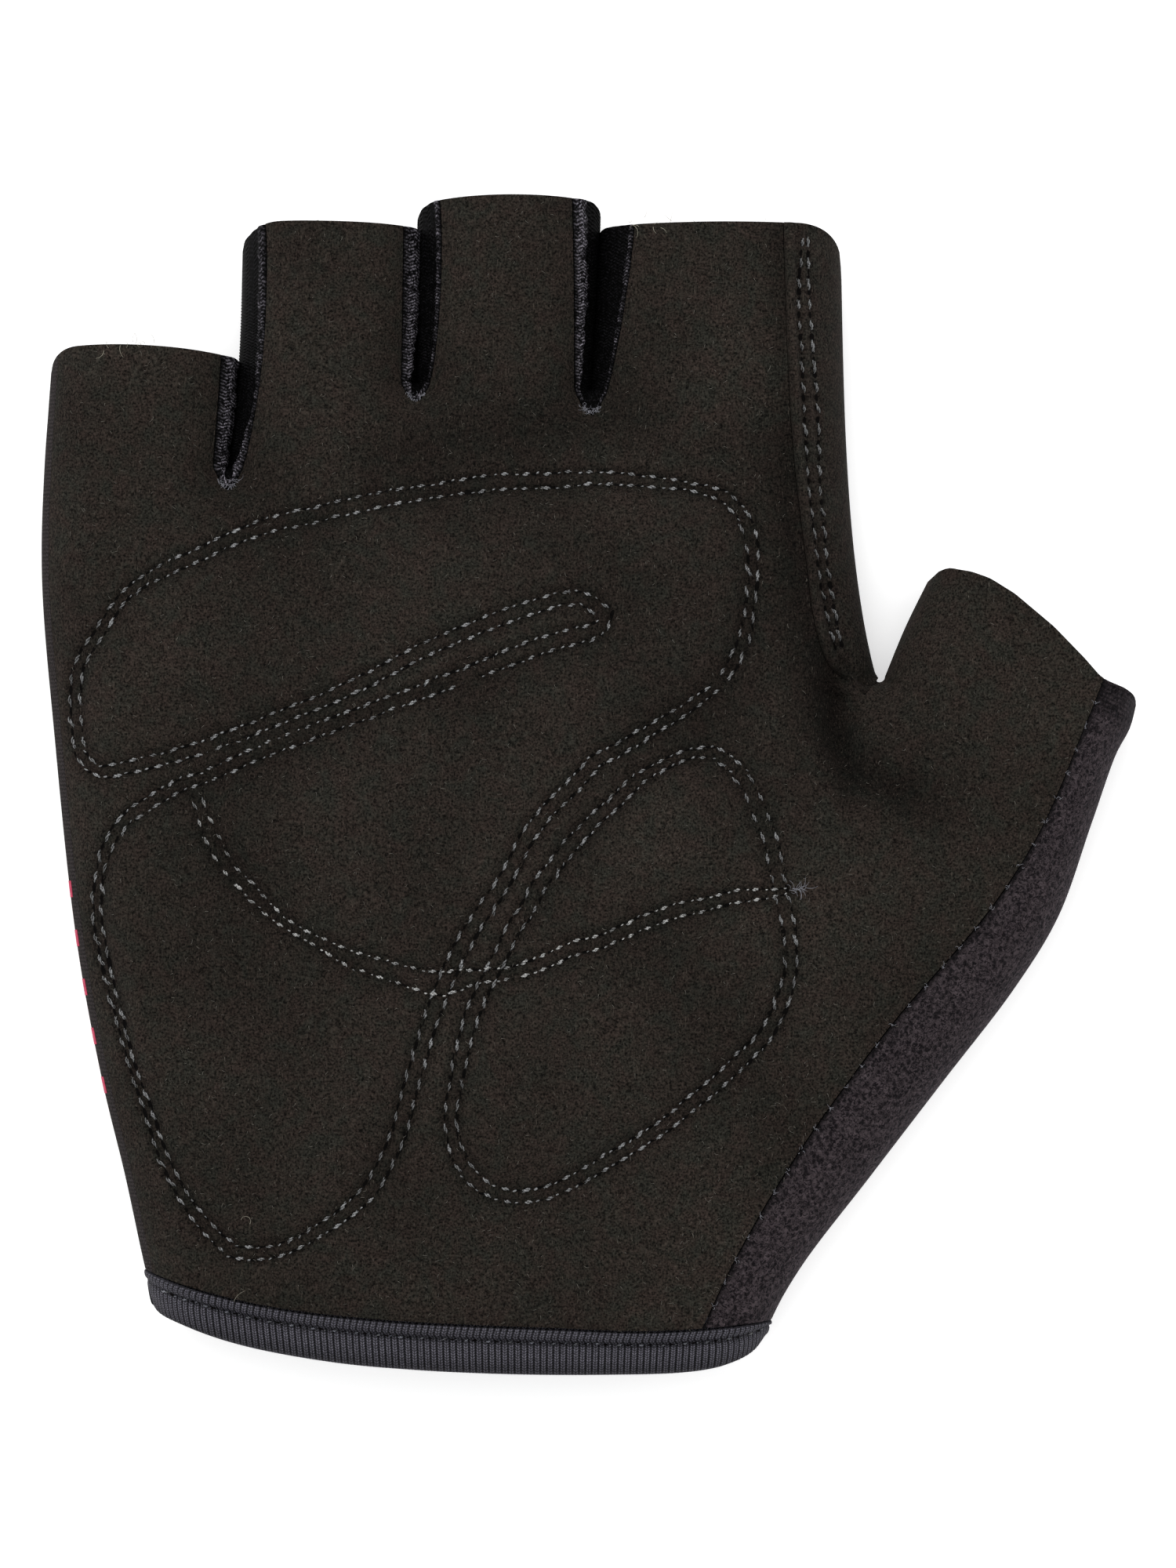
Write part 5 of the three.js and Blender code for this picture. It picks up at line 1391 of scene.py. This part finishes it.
def makeStrip(number):
    # Down one finger, round the foot of the V and up the next; across, from the front seam over the side
    # edge to the back seam, with a roll by the front seam that is broad on the left and narrow on the right
    gap = gaps[number]
    down = gapStations(number, False, 200)[::-1]
    upward = gapStations(number, True, 200)
    stations = np.vstack([down[:-1], upward])
    length = runOf(beside(stations[:, :4], 1.0))[-1]
    count = int(length / glove["stripRib"] * 5 / quality) // 2 * 2 + 1
    stations = evenStations(stations, 1.0, count)
    run = np.linspace(0, length, count)[:, None]
    across = np.concatenate([np.linspace(-1, 0, 25)[:-1], np.linspace(0, 1, 9)])
    seam = glove["seamGap"] / 2
    frontReach = (stations[:, 4:] - seam) * (-across[across < 0]) ** 1.3
    backReach = np.repeat(((stripBackReach - seam) * across[across >= 0] ** 2)[None], count, axis=0)
    reach = np.concatenate([frontReach, backReach], axis=1)
    side = np.where(across < 0, 1, -1)
    plan = beside(stations[:, None, :4], reach)
    tipLeft = hems[number](plan[0, :, 0]) - plan[0, :, 1]
    tipRight = hems[number + 1](plan[-1, :, 0]) - plan[-1, :, 1]
    share = run / length
    ease = glove["hemEase"]
    atLeft, atRight = clamp01(1 - share / ease) ** 2, clamp01((share - (1 - ease)) / ease) ** 2
    plan[..., 1] += tipLeft * atLeft + tipRight * atRight
    toRight = smooth((share - 0.44) / 0.12)
    sizes = strip["wanderSizes"]
    phases = random.uniform(0, 2 * math.pi, len(sizes))
    wander = sum(np.sin(2 * math.pi * run / size + phase) for size, phase in zip(sizes, phases)) / 3
    toFoot = 1 - smooth(np.abs(share - 0.5) / 0.34)
    width = mix(*strip["beadWidths"][number], toRight)
    width = width * (1 + strip["wander"] * wander) * mix(1, strip["beadFoot"], toFoot)
    fromSeam = stations[:, 4:] - reach
    bead = np.sin(math.pi * clamp01((fromSeam - seam) / width)) ** 0.8
    bead = np.where(side > 0, bead, 0.0)
    closing = strip["closing"] * bell(reach / strip["closingReach"])
    ribs = strip["ribDepth"] * np.cos(2 * math.pi * (run / glove["stripRib"] + strip["ribLean"] * reach))
    sewn = np.where(side > 0, np.exp(-np.maximum(0, fromSeam) / 0.2), 0.0)
    lift = bead * mix(*strip["beadLift"], toRight) + closing + ribs - strip["sewnDepth"] * sewn
    grid = wall(plan, side, glove["stripWall"], lift, gap["edges"])
    # Painted shade: in the fold beside the roll and along the front seam, unevenly on the right side's roll,
    # at the foot of the V and where the strip goes on to the back
    rollTone = mix(1.0, strip["rightTone"], toRight) * mix(1, 0.7 + 0.3 * wander, toRight)
    tone = mix(strip["foldTone"], 1.0, bead * rollTone) * (1 - 0.85 * np.exp(-fromSeam / 0.22))
    tone = tone * mix(1.0, strip["footTone"], bell((share - 0.5) / 0.06))
    tone = np.where(side > 0, tone, strip["backTone"])
    along = np.broadcast_to(run, reach.shape)
    uv = np.stack([along, np.cumsum(np.abs(np.gradient(reach, axis=1)), axis=1)], axis=-1)
    name, node = strip["pieces"][number]
    piece = makePanel("stretchStrip." + name, [grid], allRims, stripMaterial, uv=[uv], tone=[tone])
    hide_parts(node)


for number in range(3):
    makeStrip(number)
print("strips ready")

cuff = {
    "lower": [(-55.6, -65.9), (-54.4, -67.4), (-51.3, -68.8), (-43, -71.4), (-31.9, -73.4), (-20.8, -74.4),
              (-9.6, -74.9), (1.4, -75), (12.5, -74.7), (18.1, -73.8), (21.4, -72.3), (23, -70.4)],
    # Section: how far down from the upper edge, as a share of the height, and how far out from the glove's
    # surface. A thin tongue goes up under the palm and the back
    "section": [(0.03, -0.3), (0.03, 0.5), (0.1, 0.95), (0.18, 0.85), (0.235, 0.45), (0.28, 0.0),
                (0.33, -0.05), (0.38, 0.3), (0.46, 0.6), (0.6, 0.72), (0.78, 0.66), (0.92, 0.35),
                (0.995, -0.2), (0.985, -0.8), (0.9, -1.15), (0.5, -1.15), (0.15, -1.3), (-0.02, -1.65),
                (-0.14, -1.8), (-0.17, -1.65), (-0.12, -1.5), (0.0, -1.42), (0.03, -1.15)],
    "height": 6.5,           # of the binding in its middle, for the spacing of the section's points
    "spacing": 0.44,
    "pointsPerRib": 10 // quality,
    "strandDepth": 0.05,     # a rib is two strands side by side
    "ribDepth": 0.06,
    "teeth": 0.03,           # zigzag of the upper edge, as a share of the height
    "lean": 0.5,             # how far the ribs of the roll lean over, in ribs
    "rimShare": 0.25,        # how much of the section's stand is left at the side edges
    "tones": (0.3, 1.2),     # painted shade between two ribs, and painted light on one
    "seamTone": 0.25,        # painted shade in the sunk seam below the roll
    "edgeTone": 0.55,        # painted shade at the upper and the lower edge
}
cuffLow = smoothLookUp(cuff["lower"])


def cuffSurface(share, side, down, out):
    # A place on the binding: share across the wrist, down its height, out from the glove's surface
    seam = glove["seamGap"]
    left = stationAt(little, mix(layout["cuffLittle"] - seam, cuff["lower"][0][1], down))
    right = stationAt(thumbOuter, mix(layout["cuffThumb"] - seam, cuff["lower"][-1][1], down))
    x = mix(left[..., 0], right[..., 0], share)
    plan = np.stack([x, mix(cuffHeight(x) - seam, cuffLow(x), down)], axis=-1)
    distance = nearestEdge(plan, [little, thumbOuter])[..., 0]
    stand = mix(cuff["rimShare"], 1, smooth(distance / glove["edgeRadius"]))
    return surface(plan, side, np.where(out > 0, out * stand, out), [little, thumbOuter])


def makeCuff():
    # The section carried round the wrist: a rolled top with a toothed edge, a sunk seam and a ribbed band
    turn = np.linspace(0, 2 * math.pi, 1200)
    share = (1 - np.cos(turn)) / 2
    middle = cuffSurface(share, np.where(turn <= math.pi, 1, -1), 0.5, 0.0)
    run = np.concatenate([[0], np.cumsum(np.linalg.norm(np.diff(middle, axis=0), axis=1))])
    ribs = int(run[-1] / glove["cuffRib"])
    count = ribs * cuff["pointsPerRib"]
    turn = np.interp(np.linspace(0, run[-1], count, endpoint=False), run, turn)[:, None]
    stretch = [cuff["height"], 1]
    section = curveThrough(np.array(cuff["section"]) * stretch, cuff["spacing"], True)[:-1] / stretch
    down, out = section[:, 0][None], section[:, 1][None]
    rolled = 1 - smooth((down - 0.2) / 0.1)
    place = ribs * np.arange(count)[:, None] / count + cuff["lean"] * rolled * (down / 0.25)
    wave = np.cos(2 * math.pi * place)
    strands = -np.cos(4 * math.pi * place)
    facing = smooth((out + 0.3) / 0.4)
    teeth = cuff["teeth"] * wave * rolled * (1 - smooth(down / 0.12))
    stand = out + (cuff["ribDepth"] * wave + cuff["strandDepth"] * strands) * facing
    share, side = (1 - np.cos(turn)) / 2, np.where(turn <= math.pi, 1, -1)
    points = cuffSurface(share, side, down - teeth * facing, stand)
    ids = np.arange(points.shape[0] * points.shape[1]).reshape(points.shape[:2])
    across = np.broadcast_to(down * cuff["height"], ids.shape)
    # Painted shade between the ribs, in the sunk seam and towards the upper and lower edges, and painted
    # light on the ribs, all on the side that faces out
    tone = mix(*cuff["tones"], (wave + 1) / 2) * mix(cuff["seamTone"], 1, smooth(np.abs(down - 0.3) / 0.075))
    tone = tone * mix(cuff["edgeTone"], 1.0, smooth((1 - down) / 0.4))
    tone = tone * mix(cuff["edgeTone"], 1.0, smooth(down / 0.06))
    tone = mix(1.0, tone, facing)
    uv = np.stack([place * glove["cuffRib"], across], axis=-1)
    faces = [quads(ids, aroundRows=True, aroundColumns=True)]
    return makeMesh("cuffElastic", points, faces, cuffMaterial, uv, tone=tone)


cuffPiece = makeCuff()
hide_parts("cuff_binding")
print("cuff ready", len(cuffPiece.data.polygons))

# Each pad: its middle and its rim
pads = {
    "pad_knuckle": ((-21, 27.5), [
        (-63.6, 6), (-63.8, 16), (-57.5, 25), (-43.1, 32), (-21.4, 37), (1.5, 38.6), (15.5, 36.8),
        (20.6, 30), (20.2, 22), (6, 23.4), (-3, 23.6), (-20.1, 18.4), (-43.1, 8.6), (-56, 4.2),
    ]),
    "pad_centre": ((-12.5, 4.5), [
        (-44, 2.4), (-30.3, 6.8), (-14.4, 12.6), (-2, 16.8), (8, 19), (18.8, 18.8), (16.5, 12.4), (7.6, 7),
        (-1.4, 0), (-10.5, -10.4), (-17.8, -22.2), (-26.6, -21.2), (-35.6, -17.4), (-42.6, -11.2),
        (-46.6, -4),
    ]),
    "pad_heel": ((-40, -34), [
        (-49.4, -1.8), (-47.8, -9.6), (-40.8, -17.4), (-31, -23.2), (-20.2, -26.4), (-22.4, -37),
        (-25, -46), (-30, -52.4), (-38, -57), (-45, -57.4), (-50.8, -51.6), (-56, -38), (-59.6, -25.6),
        (-61.4, -13), (-58.6, -5),
    ]),
    "pad_thumb": ((4, -26), [
        (13, 3.6), (18.2, 2.8), (22.6, -4.8), (25.6, -16), (25.8, -25.4), (22, -33), (12, -42.2),
        (-1.6, -50.6), (-12.6, -51.4), (-17, -44), (-15, -30.4), (-8.6, -18), (-1, -7), (6.4, 0.4),
    ]),
}
foam = {
    "below": 0.45,           # top of the foam, under the inner side of the suede
    "thick": 2.1,
    "topDrop": 0.5,          # how far the top comes down towards the rim
    "topRound": 0.3,         # shares of the radius over which top and belly round off
    "bellyRound": 0.35,
    "rings": 14,
    "rimStep": 1.2,
}


def makePad(name, middle, rimPoints):
    # Rings from the middle to the rim: a top close under the suede, and a belly that rounds up at the rim
    rim = curveThrough(rimPoints, foam["rimStep"], True)[:-1]
    rings = np.linspace(0, 1, foam["rings"] + 1)[1:]
    plan = mix(np.array(middle), rim[None], rings[:, None, None] * 0.985)
    below = -(glove["suedeWall"] + foam["below"])
    top = surface(plan, 1, below)
    top[..., 2] -= foam["topDrop"] * (1 - quarterRound((1 - rings) / foam["topRound"] + 0.02))[:, None]
    bottom = top.copy()
    bottom[..., 2] -= foam["thick"] * quarterRound((1 - rings) / foam["bellyRound"] + 0.03)[:, None]
    centre = surface(np.array([middle], float), 1, below)
    under = centre - [[0, 0, foam["thick"]]]
    points = np.concatenate([top.reshape(-1, 3), bottom.reshape(-1, 3), centre, under])
    many = len(rim)
    ids = np.arange(len(rings) * many).reshape(len(rings), many)
    low = ids + ids.size
    tip, base = 2 * ids.size, 2 * ids.size + 1
    around = np.roll(np.arange(many), -1)
    faces = [quads(ids, aroundColumns=True)[:, ::-1], quads(low, aroundColumns=True),
             np.stack([np.full(many, tip), ids[0], ids[0][around]], axis=-1),
             np.stack([np.full(many, base), low[0][around], low[0]], axis=-1),
             np.stack([ids[-1], low[-1], low[-1][around], ids[-1][around]], axis=-1)]
    piece = makeMesh(name, points, faces, foamMaterial)
    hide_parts(name)


for name, (middle, rimPoints) in pads.items():
    makePad(name, middle, rimPoints)
print("pads ready")

# Stitches, loose fibres and print
stitch = {
    "length": 2.0,
    "acrossLength": 0.7,     # share of that length where a row runs across the hand
    "bite": (0.62, 0.12),    # length and radius of the thread's bright turn between two such stitches
    "strand": 0.135,         # radius of each of the two strands
    "ply": 0.125,            # how far the strands lie from the stitch's middle
    "turns": 1.25,           # twist along one stitch
    "slant": 11.0,           # degrees off the row, all the same way, and how much that varies
    "slantSpread": 8.0,
    "stand": 0.12,           # middle of a stitch above the suede
    "dive": 0.4,             # its ends below
    "hole": (0.66, 0.23),    # half the length and width of the dark hole between two stitches
    "rings": 8,
    "sides": 5,
}


def stitchPlaces(rows, pitch):
    # Middles and directions of the stitches along each row, one pitch apart
    places, runs = [], []
    for row in rows:
        count = max(2, int(round(runOf(row)[-1] / pitch)))
        even = resample(row, count * 4 + 1)
        middle, ahead = even[2::4], even[3::4]
        run = ahead - middle
        places.append(middle)
        runs.append(run / np.hypot(*run.T)[:, None])
    return np.concatenate(places), np.concatenate(runs)


def sewRow(name, rows, place, pitch, scale, holeScale, material):
    # Two strands turn round each other along each stitch; its middle stands proud of the cloth and its ends
    # dive into the holes between the stitches
    middles, runs = stitchPlaces(rows, pitch)
    many = len(middles)
    jitter = random.normal(0, 1, (many, 6))
    turn = np.radians(stitch["slant"] + stitch["slantSpread"] * jitter[:, 0])
    cosine, sine = np.cos(turn)[:, None], np.sin(turn)[:, None]
    slanted = runs * cosine + np.column_stack([-runs[:, 1], runs[:, 0]]) * sine
    sideways = np.column_stack([-slanted[:, 1], slanted[:, 0]])
    across = smooth(runs[:, 0] ** 2)
    length = stitch["length"] * scale * (1 + 0.1 * jitter[:, 1]) * mix(1, stitch["acrossLength"], across)
    share = np.linspace(-0.5, 0.5, stitch["rings"])
    arch = np.cos(math.pi * share) ** 0.7
    stand = -stitch["dive"] + (stitch["stand"] + stitch["dive"] + 0.05 * jitter[:, 2:3]) * arch[None]
    start = middles + sideways * 0.05 * jitter[:, 3:4]
    paths = []
    for phase in (0, math.pi):
        twist = phase + 2 * math.pi * stitch["turns"] * share[None] + 0.5 * jitter[:, 4:5]
        aside = stitch["ply"] * scale * np.cos(twist)
        up = stitch["ply"] * scale * np.sin(twist)
        plan = start[:, None] + slanted[:, None] * (share[None, :, None] * length[:, None, None])
        paths.append(place(plan + sideways[:, None] * aside[..., None], stand * scale + up))
    body = stitch["strand"] * scale * (0.45 + 0.55 * arch[None]) * (1 + 0.1 * jitter[:, 5:6])
    # Painted highlight on stitches that run across the hand, brighter or dimmer at random from stitch to
    # stitch; these also show the thread's turn in the hole, with its own painted highlight
    tone = mix(0.5, 1.2, across) * np.exp(0.35 * jitter[:, 5])
    turned = np.flatnonzero(across > 0.3)
    biteLength, biteRadius = np.array(stitch["bite"]) * scale
    centre = middles[turned] + runs[turned] * pitch * 0.57 + sideways[turned] * 0.08 * jitter[turned, :1]
    plan = centre[:, None] + slanted[turned, None] * (share[None, :, None] * biteLength)
    paths.append(place(plan, 0.3 * arch[None] - 0.22 + 0.04 * jitter[turned, 1:2]))
    bite = biteRadius * (0.4 + 0.6 * arch[None]) * (1 + 0.15 * jitter[turned, 2:3])
    radii = np.concatenate([body, body, bite])
    tones = np.concatenate([tone, tone, 1.5 * across[turned] * np.exp(0.4 * jitter[turned, 3])])
    tubes(name, np.concatenate(paths), radii, stitch["sides"], material, tones)
    holes = middles + runs * (pitch * mix(0.5, 0.38, across))[:, None]
    makeHoles(name + ".holes", holes, runs, place, holeScale * mix(1, 0.8, across)[:, None])


def makeHoles(name, plan, runs, place, scale):
    # A small lens of painted shade in each gap, for the dark needle hole: a ring and a middle above and
    # below it
    many = len(plan)
    turn = np.linspace(0, 2 * math.pi, 8, endpoint=False)
    longHalf, wideHalf = stitch["hole"]
    size = scale * (1 + 0.18 * random.normal(0, 1, (many, 1)))
    sideways = np.column_stack([-runs[:, 1], runs[:, 0]])
    along = (longHalf * np.cos(turn))[None] * size
    aside = (wideHalf * np.sin(turn))[None] * size
    ring = runs[:, None] * along[..., None] + sideways[:, None] * aside[..., None]
    rim = place(plan[:, None] + ring, 0.02)
    top = place(plan[:, None], 0.06)
    base = place(plan[:, None], -0.3)
    points = np.concatenate([rim, top, base], axis=1)
    first = (np.arange(many) * 10)[:, None]
    here, ahead = np.arange(8), np.roll(np.arange(8), -1)
    upper = np.stack(np.broadcast_arrays(first + here, first + ahead, first + 8), axis=-1)
    lower = np.stack(np.broadcast_arrays(first + ahead, first + here, first + 9), axis=-1)
    piece = makeMesh(name, points, [upper.reshape(-1, 3), lower.reshape(-1, 3)], holeShadeMaterial)


def onPalm(plan, out):
    # On the palm's suede
    return surface(plan, 1, out)


def onFold(plan, out):
    # On the side panel where it laps over the palm
    toRidge = lapAt(plan[..., 1]) - nearestEdge(plan, [index])[..., 0]
    return surface(plan, 1, out + foldLift(toRidge) - 0.12, thumbEdges + gaps[2]["edges"])


def onBinding(plan, out):
    # In the sunk seam of the cuff's binding
    return surface(plan, 1, out + 0.12, [little, thumbOuter])


padRows = rowsOf["padLoop"] + rowsOf["thumbPad"]
sewRow("palmStitches", padRows, onPalm, stitching["pitch"], 1.0, 1.0, threadMaterial)
sewRow("crossStitches", rowsOf["crossLine"], onPalm, stitching["crossPitch"], 0.92, 0.85,
       crossThreadMaterial)
sewRow("indexSideStitches", sideRows, onFold, stitching["pitch"], 0.95, 0.95, sideThreadMaterial)
cuffPath = cuffSurface(np.linspace(0.015, 0.985, 80), 1, np.full(80, 0.305), 0.0)[:, :2]
sewRow("cuffStitches", [resample(cuffPath, 320)], onBinding, 2.75, 0.62, 0.5, cuffThreadMaterial)
print("stitches ready")


def loose(name, starts, headings, lengths, curls, stands, radius, material):
    # Fibres that leave a point of the surface: heading turns by curl along the way, height is an arch
    share = np.linspace(0, 1, 6)
    heading = headings[:, None] + curls[:, None] * share
    step = lengths[:, None] / 5
    x = np.cumsum(np.cos(heading) * step, axis=1) - np.cos(heading[:, :1]) * step
    y = np.cumsum(np.sin(heading) * step, axis=1) - np.sin(heading[:, :1]) * step
    z = stands[:, None] * np.sin(math.pi * share * 0.75) ** 0.7
    paths = starts[:, None] + np.stack([x, y, z], axis=-1)
    radii = radius * (1 - 0.6 * share)[None] * np.ones((len(starts), 1))
    tubes(name, paths, radii, 3, material)


fibres = {
    # Each kind: length, spread of its headings, curl, height, how far it strays from its point, and radius
    "nap": (0.5, 0.5, 1.0, 0.1, 0.3, 0.028),
    "frayed": (0.95, 0.7, 1.6, 0.3, 0.12, 0.035),
    "tail": (1.3, 0.6, 1.5, 0.4, 0.15, 0.04),
    "ends": (0.5, 0.9, 1.5, 0.15, 0.14, 0.04),
    "hem": (1.6, 1.4, 2.2, 0.3, 0.3, 0.03),
    "napCount": 1900 // quality,
    "napInland": 3.5,        # how far from a side edge the nap's fibres stay
    "frayedCount": 34,       # at the foot of each gap
    "tailLine": [(26.0, -13.4), (27.6, -13.2)],
    "hemLines": [[(5.8, 71.0), (11, 71.1)], [(-61, 55.3), (-54.5, 55.6)]],
    # Two long curls: places, then heading, length, curl and height
    "curlPlaces": [(-44.6, -66.2), (-42.4, -55.8)],
    "curlShapes": [(1.6, 2.6, -1.2, 0.3), (0.6, 2.2, 3.5, 0.2)],
}


def scatter(name, points, headings, kind, material):
    # One fibre for each point, each varied round its kind's measures
    length, spread, curl, stand, stray, radius = fibres[kind]
    many = len(points)
    starts = points + random.normal(0, 1, (many, 3)) * [stray, stray, 0]
    headings = headings + random.normal(0, spread, many)
    lengths = length * random.uniform(0.5, 1.3, many)
    curls = random.normal(0, curl, many)
    stands = stand * random.uniform(0.3, 1.2, many)
    loose(name, starts, headings, lengths, curls, stands, radius, material)


def makeFibres():
    # Nap that has worked loose over the palm, frayed ends at the feet of the gaps, and a thread's tail
    outer = np.concatenate([block["outer"].reshape(-1, 3) for block in palmWalls])
    inland = nearestEdge(outer[:, :2], allEdges)[:, 0] > fibres["napInland"]
    chosen = random.choice(np.flatnonzero(inland), fibres["napCount"], replace=False)
    anyWay = random.uniform(0, 2 * math.pi, len(chosen))
    scatter("palmSuede.nap", outer[chosen], anyWay, "nap", napMaterial)
    feet = []
    for gap in gaps:
        low = gap["footReach"] + gap["point"]
        foot = np.array([gap["foot"][0], gap["foot"][1] - low])
        across = random.uniform(-1.4, 1.4, fibres["frayedCount"])
        plan = foot + np.column_stack([across, 0.55 * np.abs(across) ** 1.5 + 0.15])
        feet.append(surface(plan, 1, 0.15))
    feet = np.concatenate(feet)
    scatter("stretchStrip.frayed", feet, -math.pi / 2, "frayed", frayMaterial)
    tail = surface(np.linspace(*fibres["tailLine"], 22), 1, 0.12)
    scatter("palmStitches.tail", tail, 0.1, "tail", frayMaterial)
    seams = resample(seamLine[:, :2] + [0.1, -0.1], 31)[1:-1]
    specks = np.repeat(surface(seams, 1, 0.1), 4, axis=0)
    scatter("thumbKnit.ends", specks, 0.7, "ends", frayMaterial)
    tops = np.concatenate([surface(np.linspace(*line, 9), 1, 0.05) for line in fibres["hemLines"]])
    scatter("palmSuede.hemFibres", tops, 0.4, "hem", fibreMaterial)
    starts = surface(np.array(fibres["curlPlaces"]), 1, 0.1)
    headings, lengths, curls, stands = np.array(fibres["curlShapes"]).T
    loose("palmSuede.curls", starts, headings, lengths, curls, stands, 0.035, fibreMaterial)


makeFibres()

edgeBars = {"from": -13.5, "to": -38.5, "count": 5, "height": 2.1, "palmReach": 0.4, "backReach": 7.0}


def makeEdgeBars():
    # Short plain bars printed round the edge by the little finger, as thin films on the knit
    grids = []
    for middle in np.linspace(edgeBars["from"], edgeBars["to"], edgeBars["count"]):
        heights = middle + np.linspace(-0.5, 0.5, 5) * edgeBars["height"]
        stations = stationAt(little, heights)
        front = np.linspace(edgeBars["palmReach"], 0, 6)[:-1]
        back = np.linspace(0, 1, 14) ** 1.5 * edgeBars["backReach"]
        reach = np.concatenate([front, back])
        side = np.concatenate([np.ones(5), -np.ones(14)])
        plan = beside(stations[:, None], np.broadcast_to(reach, (5, 19)))
        grids.append({"outer": surface(plan, side, 0.07), "inner": surface(plan, side, -0.05)})
    rims = [(number, side) for number in range(len(grids)) for side in rimLines]
    piece = makePanel("edgeBars", grids, rims, pinkMaterial, stride=1)


makeEdgeBars()
print("fibres and print ready")

# Floor, light and camera, in metres
studio = {
    "frameHeight": 0.2,      # seen from the photograph's top to its foot
    "seamLevel": 0.008,      # height at which that is measured
    "lens": 200.0,
    "sensor": 36.0,
    "centre": (0.0, -0.0001),
    "world": 0.85,
    # Each light's place, size and power
    "lights": {
        "keyPanel": ((-0.35, 0.95, 0.75), (0.9, 0.6), 7.0),
        "topPanel": ((0.1, 0.1, 1.5), (1.2, 1.2), 3.5),
    },
    "tableFar": 4.0,
    "tableLevel": -0.0002,
    "tableGlow": 0.4,        # a light table, so that shadows stay pale
}


def makeFloor():
    # One square round the origin
    mesh = bpy.data.meshes.new("floor")
    far, level = studio["tableFar"], studio["tableLevel"]
    corners = [(x * far, y * far, level) for x, y in ((-1, -1), (1, -1), (1, 1), (-1, 1))]
    mesh.from_pydata(corners, [], [(0, 1, 2, 3)])
    floor = addObject("floor", mesh)
    table = makePlain("whiteTable", shades["table"], 0.9, 0.1, 0.004, 40.0)
    shader = table.node_tree.nodes["Principled BSDF"]
    shader.inputs["Emission Color"].default_value = (1, 1, 1, 1)
    shader.inputs["Emission Strength"].default_value = studio["tableGlow"]
    mesh.materials.append(table)


def makeLight(name, place, size, power):
    # A soft panel that faces the origin
    light = bpy.data.lights.new(name, "AREA")
    light.shape = "RECTANGLE"
    light.size, light.size_y = size
    light.energy = power
    lamp = addObject(name, light)
    lamp.location = place
    toward = -mathutils.Vector(place)
    lamp.rotation_euler = toward.to_track_quat("-Z", "Y").to_euler()


makeFloor()
world = bpy.data.worlds.new("softRoom")
world.use_nodes = True
world.node_tree.nodes["Background"].inputs["Color"].default_value = (1, 1, 1, 1)
world.node_tree.nodes["Background"].inputs["Strength"].default_value = studio["world"]
bpy.context.scene.world = world
for name, (place, size, power) in studio["lights"].items():
    makeLight(name, place, size, power)

camera = bpy.data.cameras.new("camera")
camera.lens = studio["lens"]
camera.sensor_fit = "VERTICAL"
camera.sensor_height = studio["sensor"]
distance = studio["frameHeight"] * studio["lens"] / studio["sensor"]
cameraObject = addObject("camera", camera)
cameraObject.location = (*studio["centre"], studio["seamLevel"] + distance)
bpy.context.scene.camera = cameraObject
bpy.context.scene.view_settings.view_transform = "Standard"

bpy.context.view_layer.update()
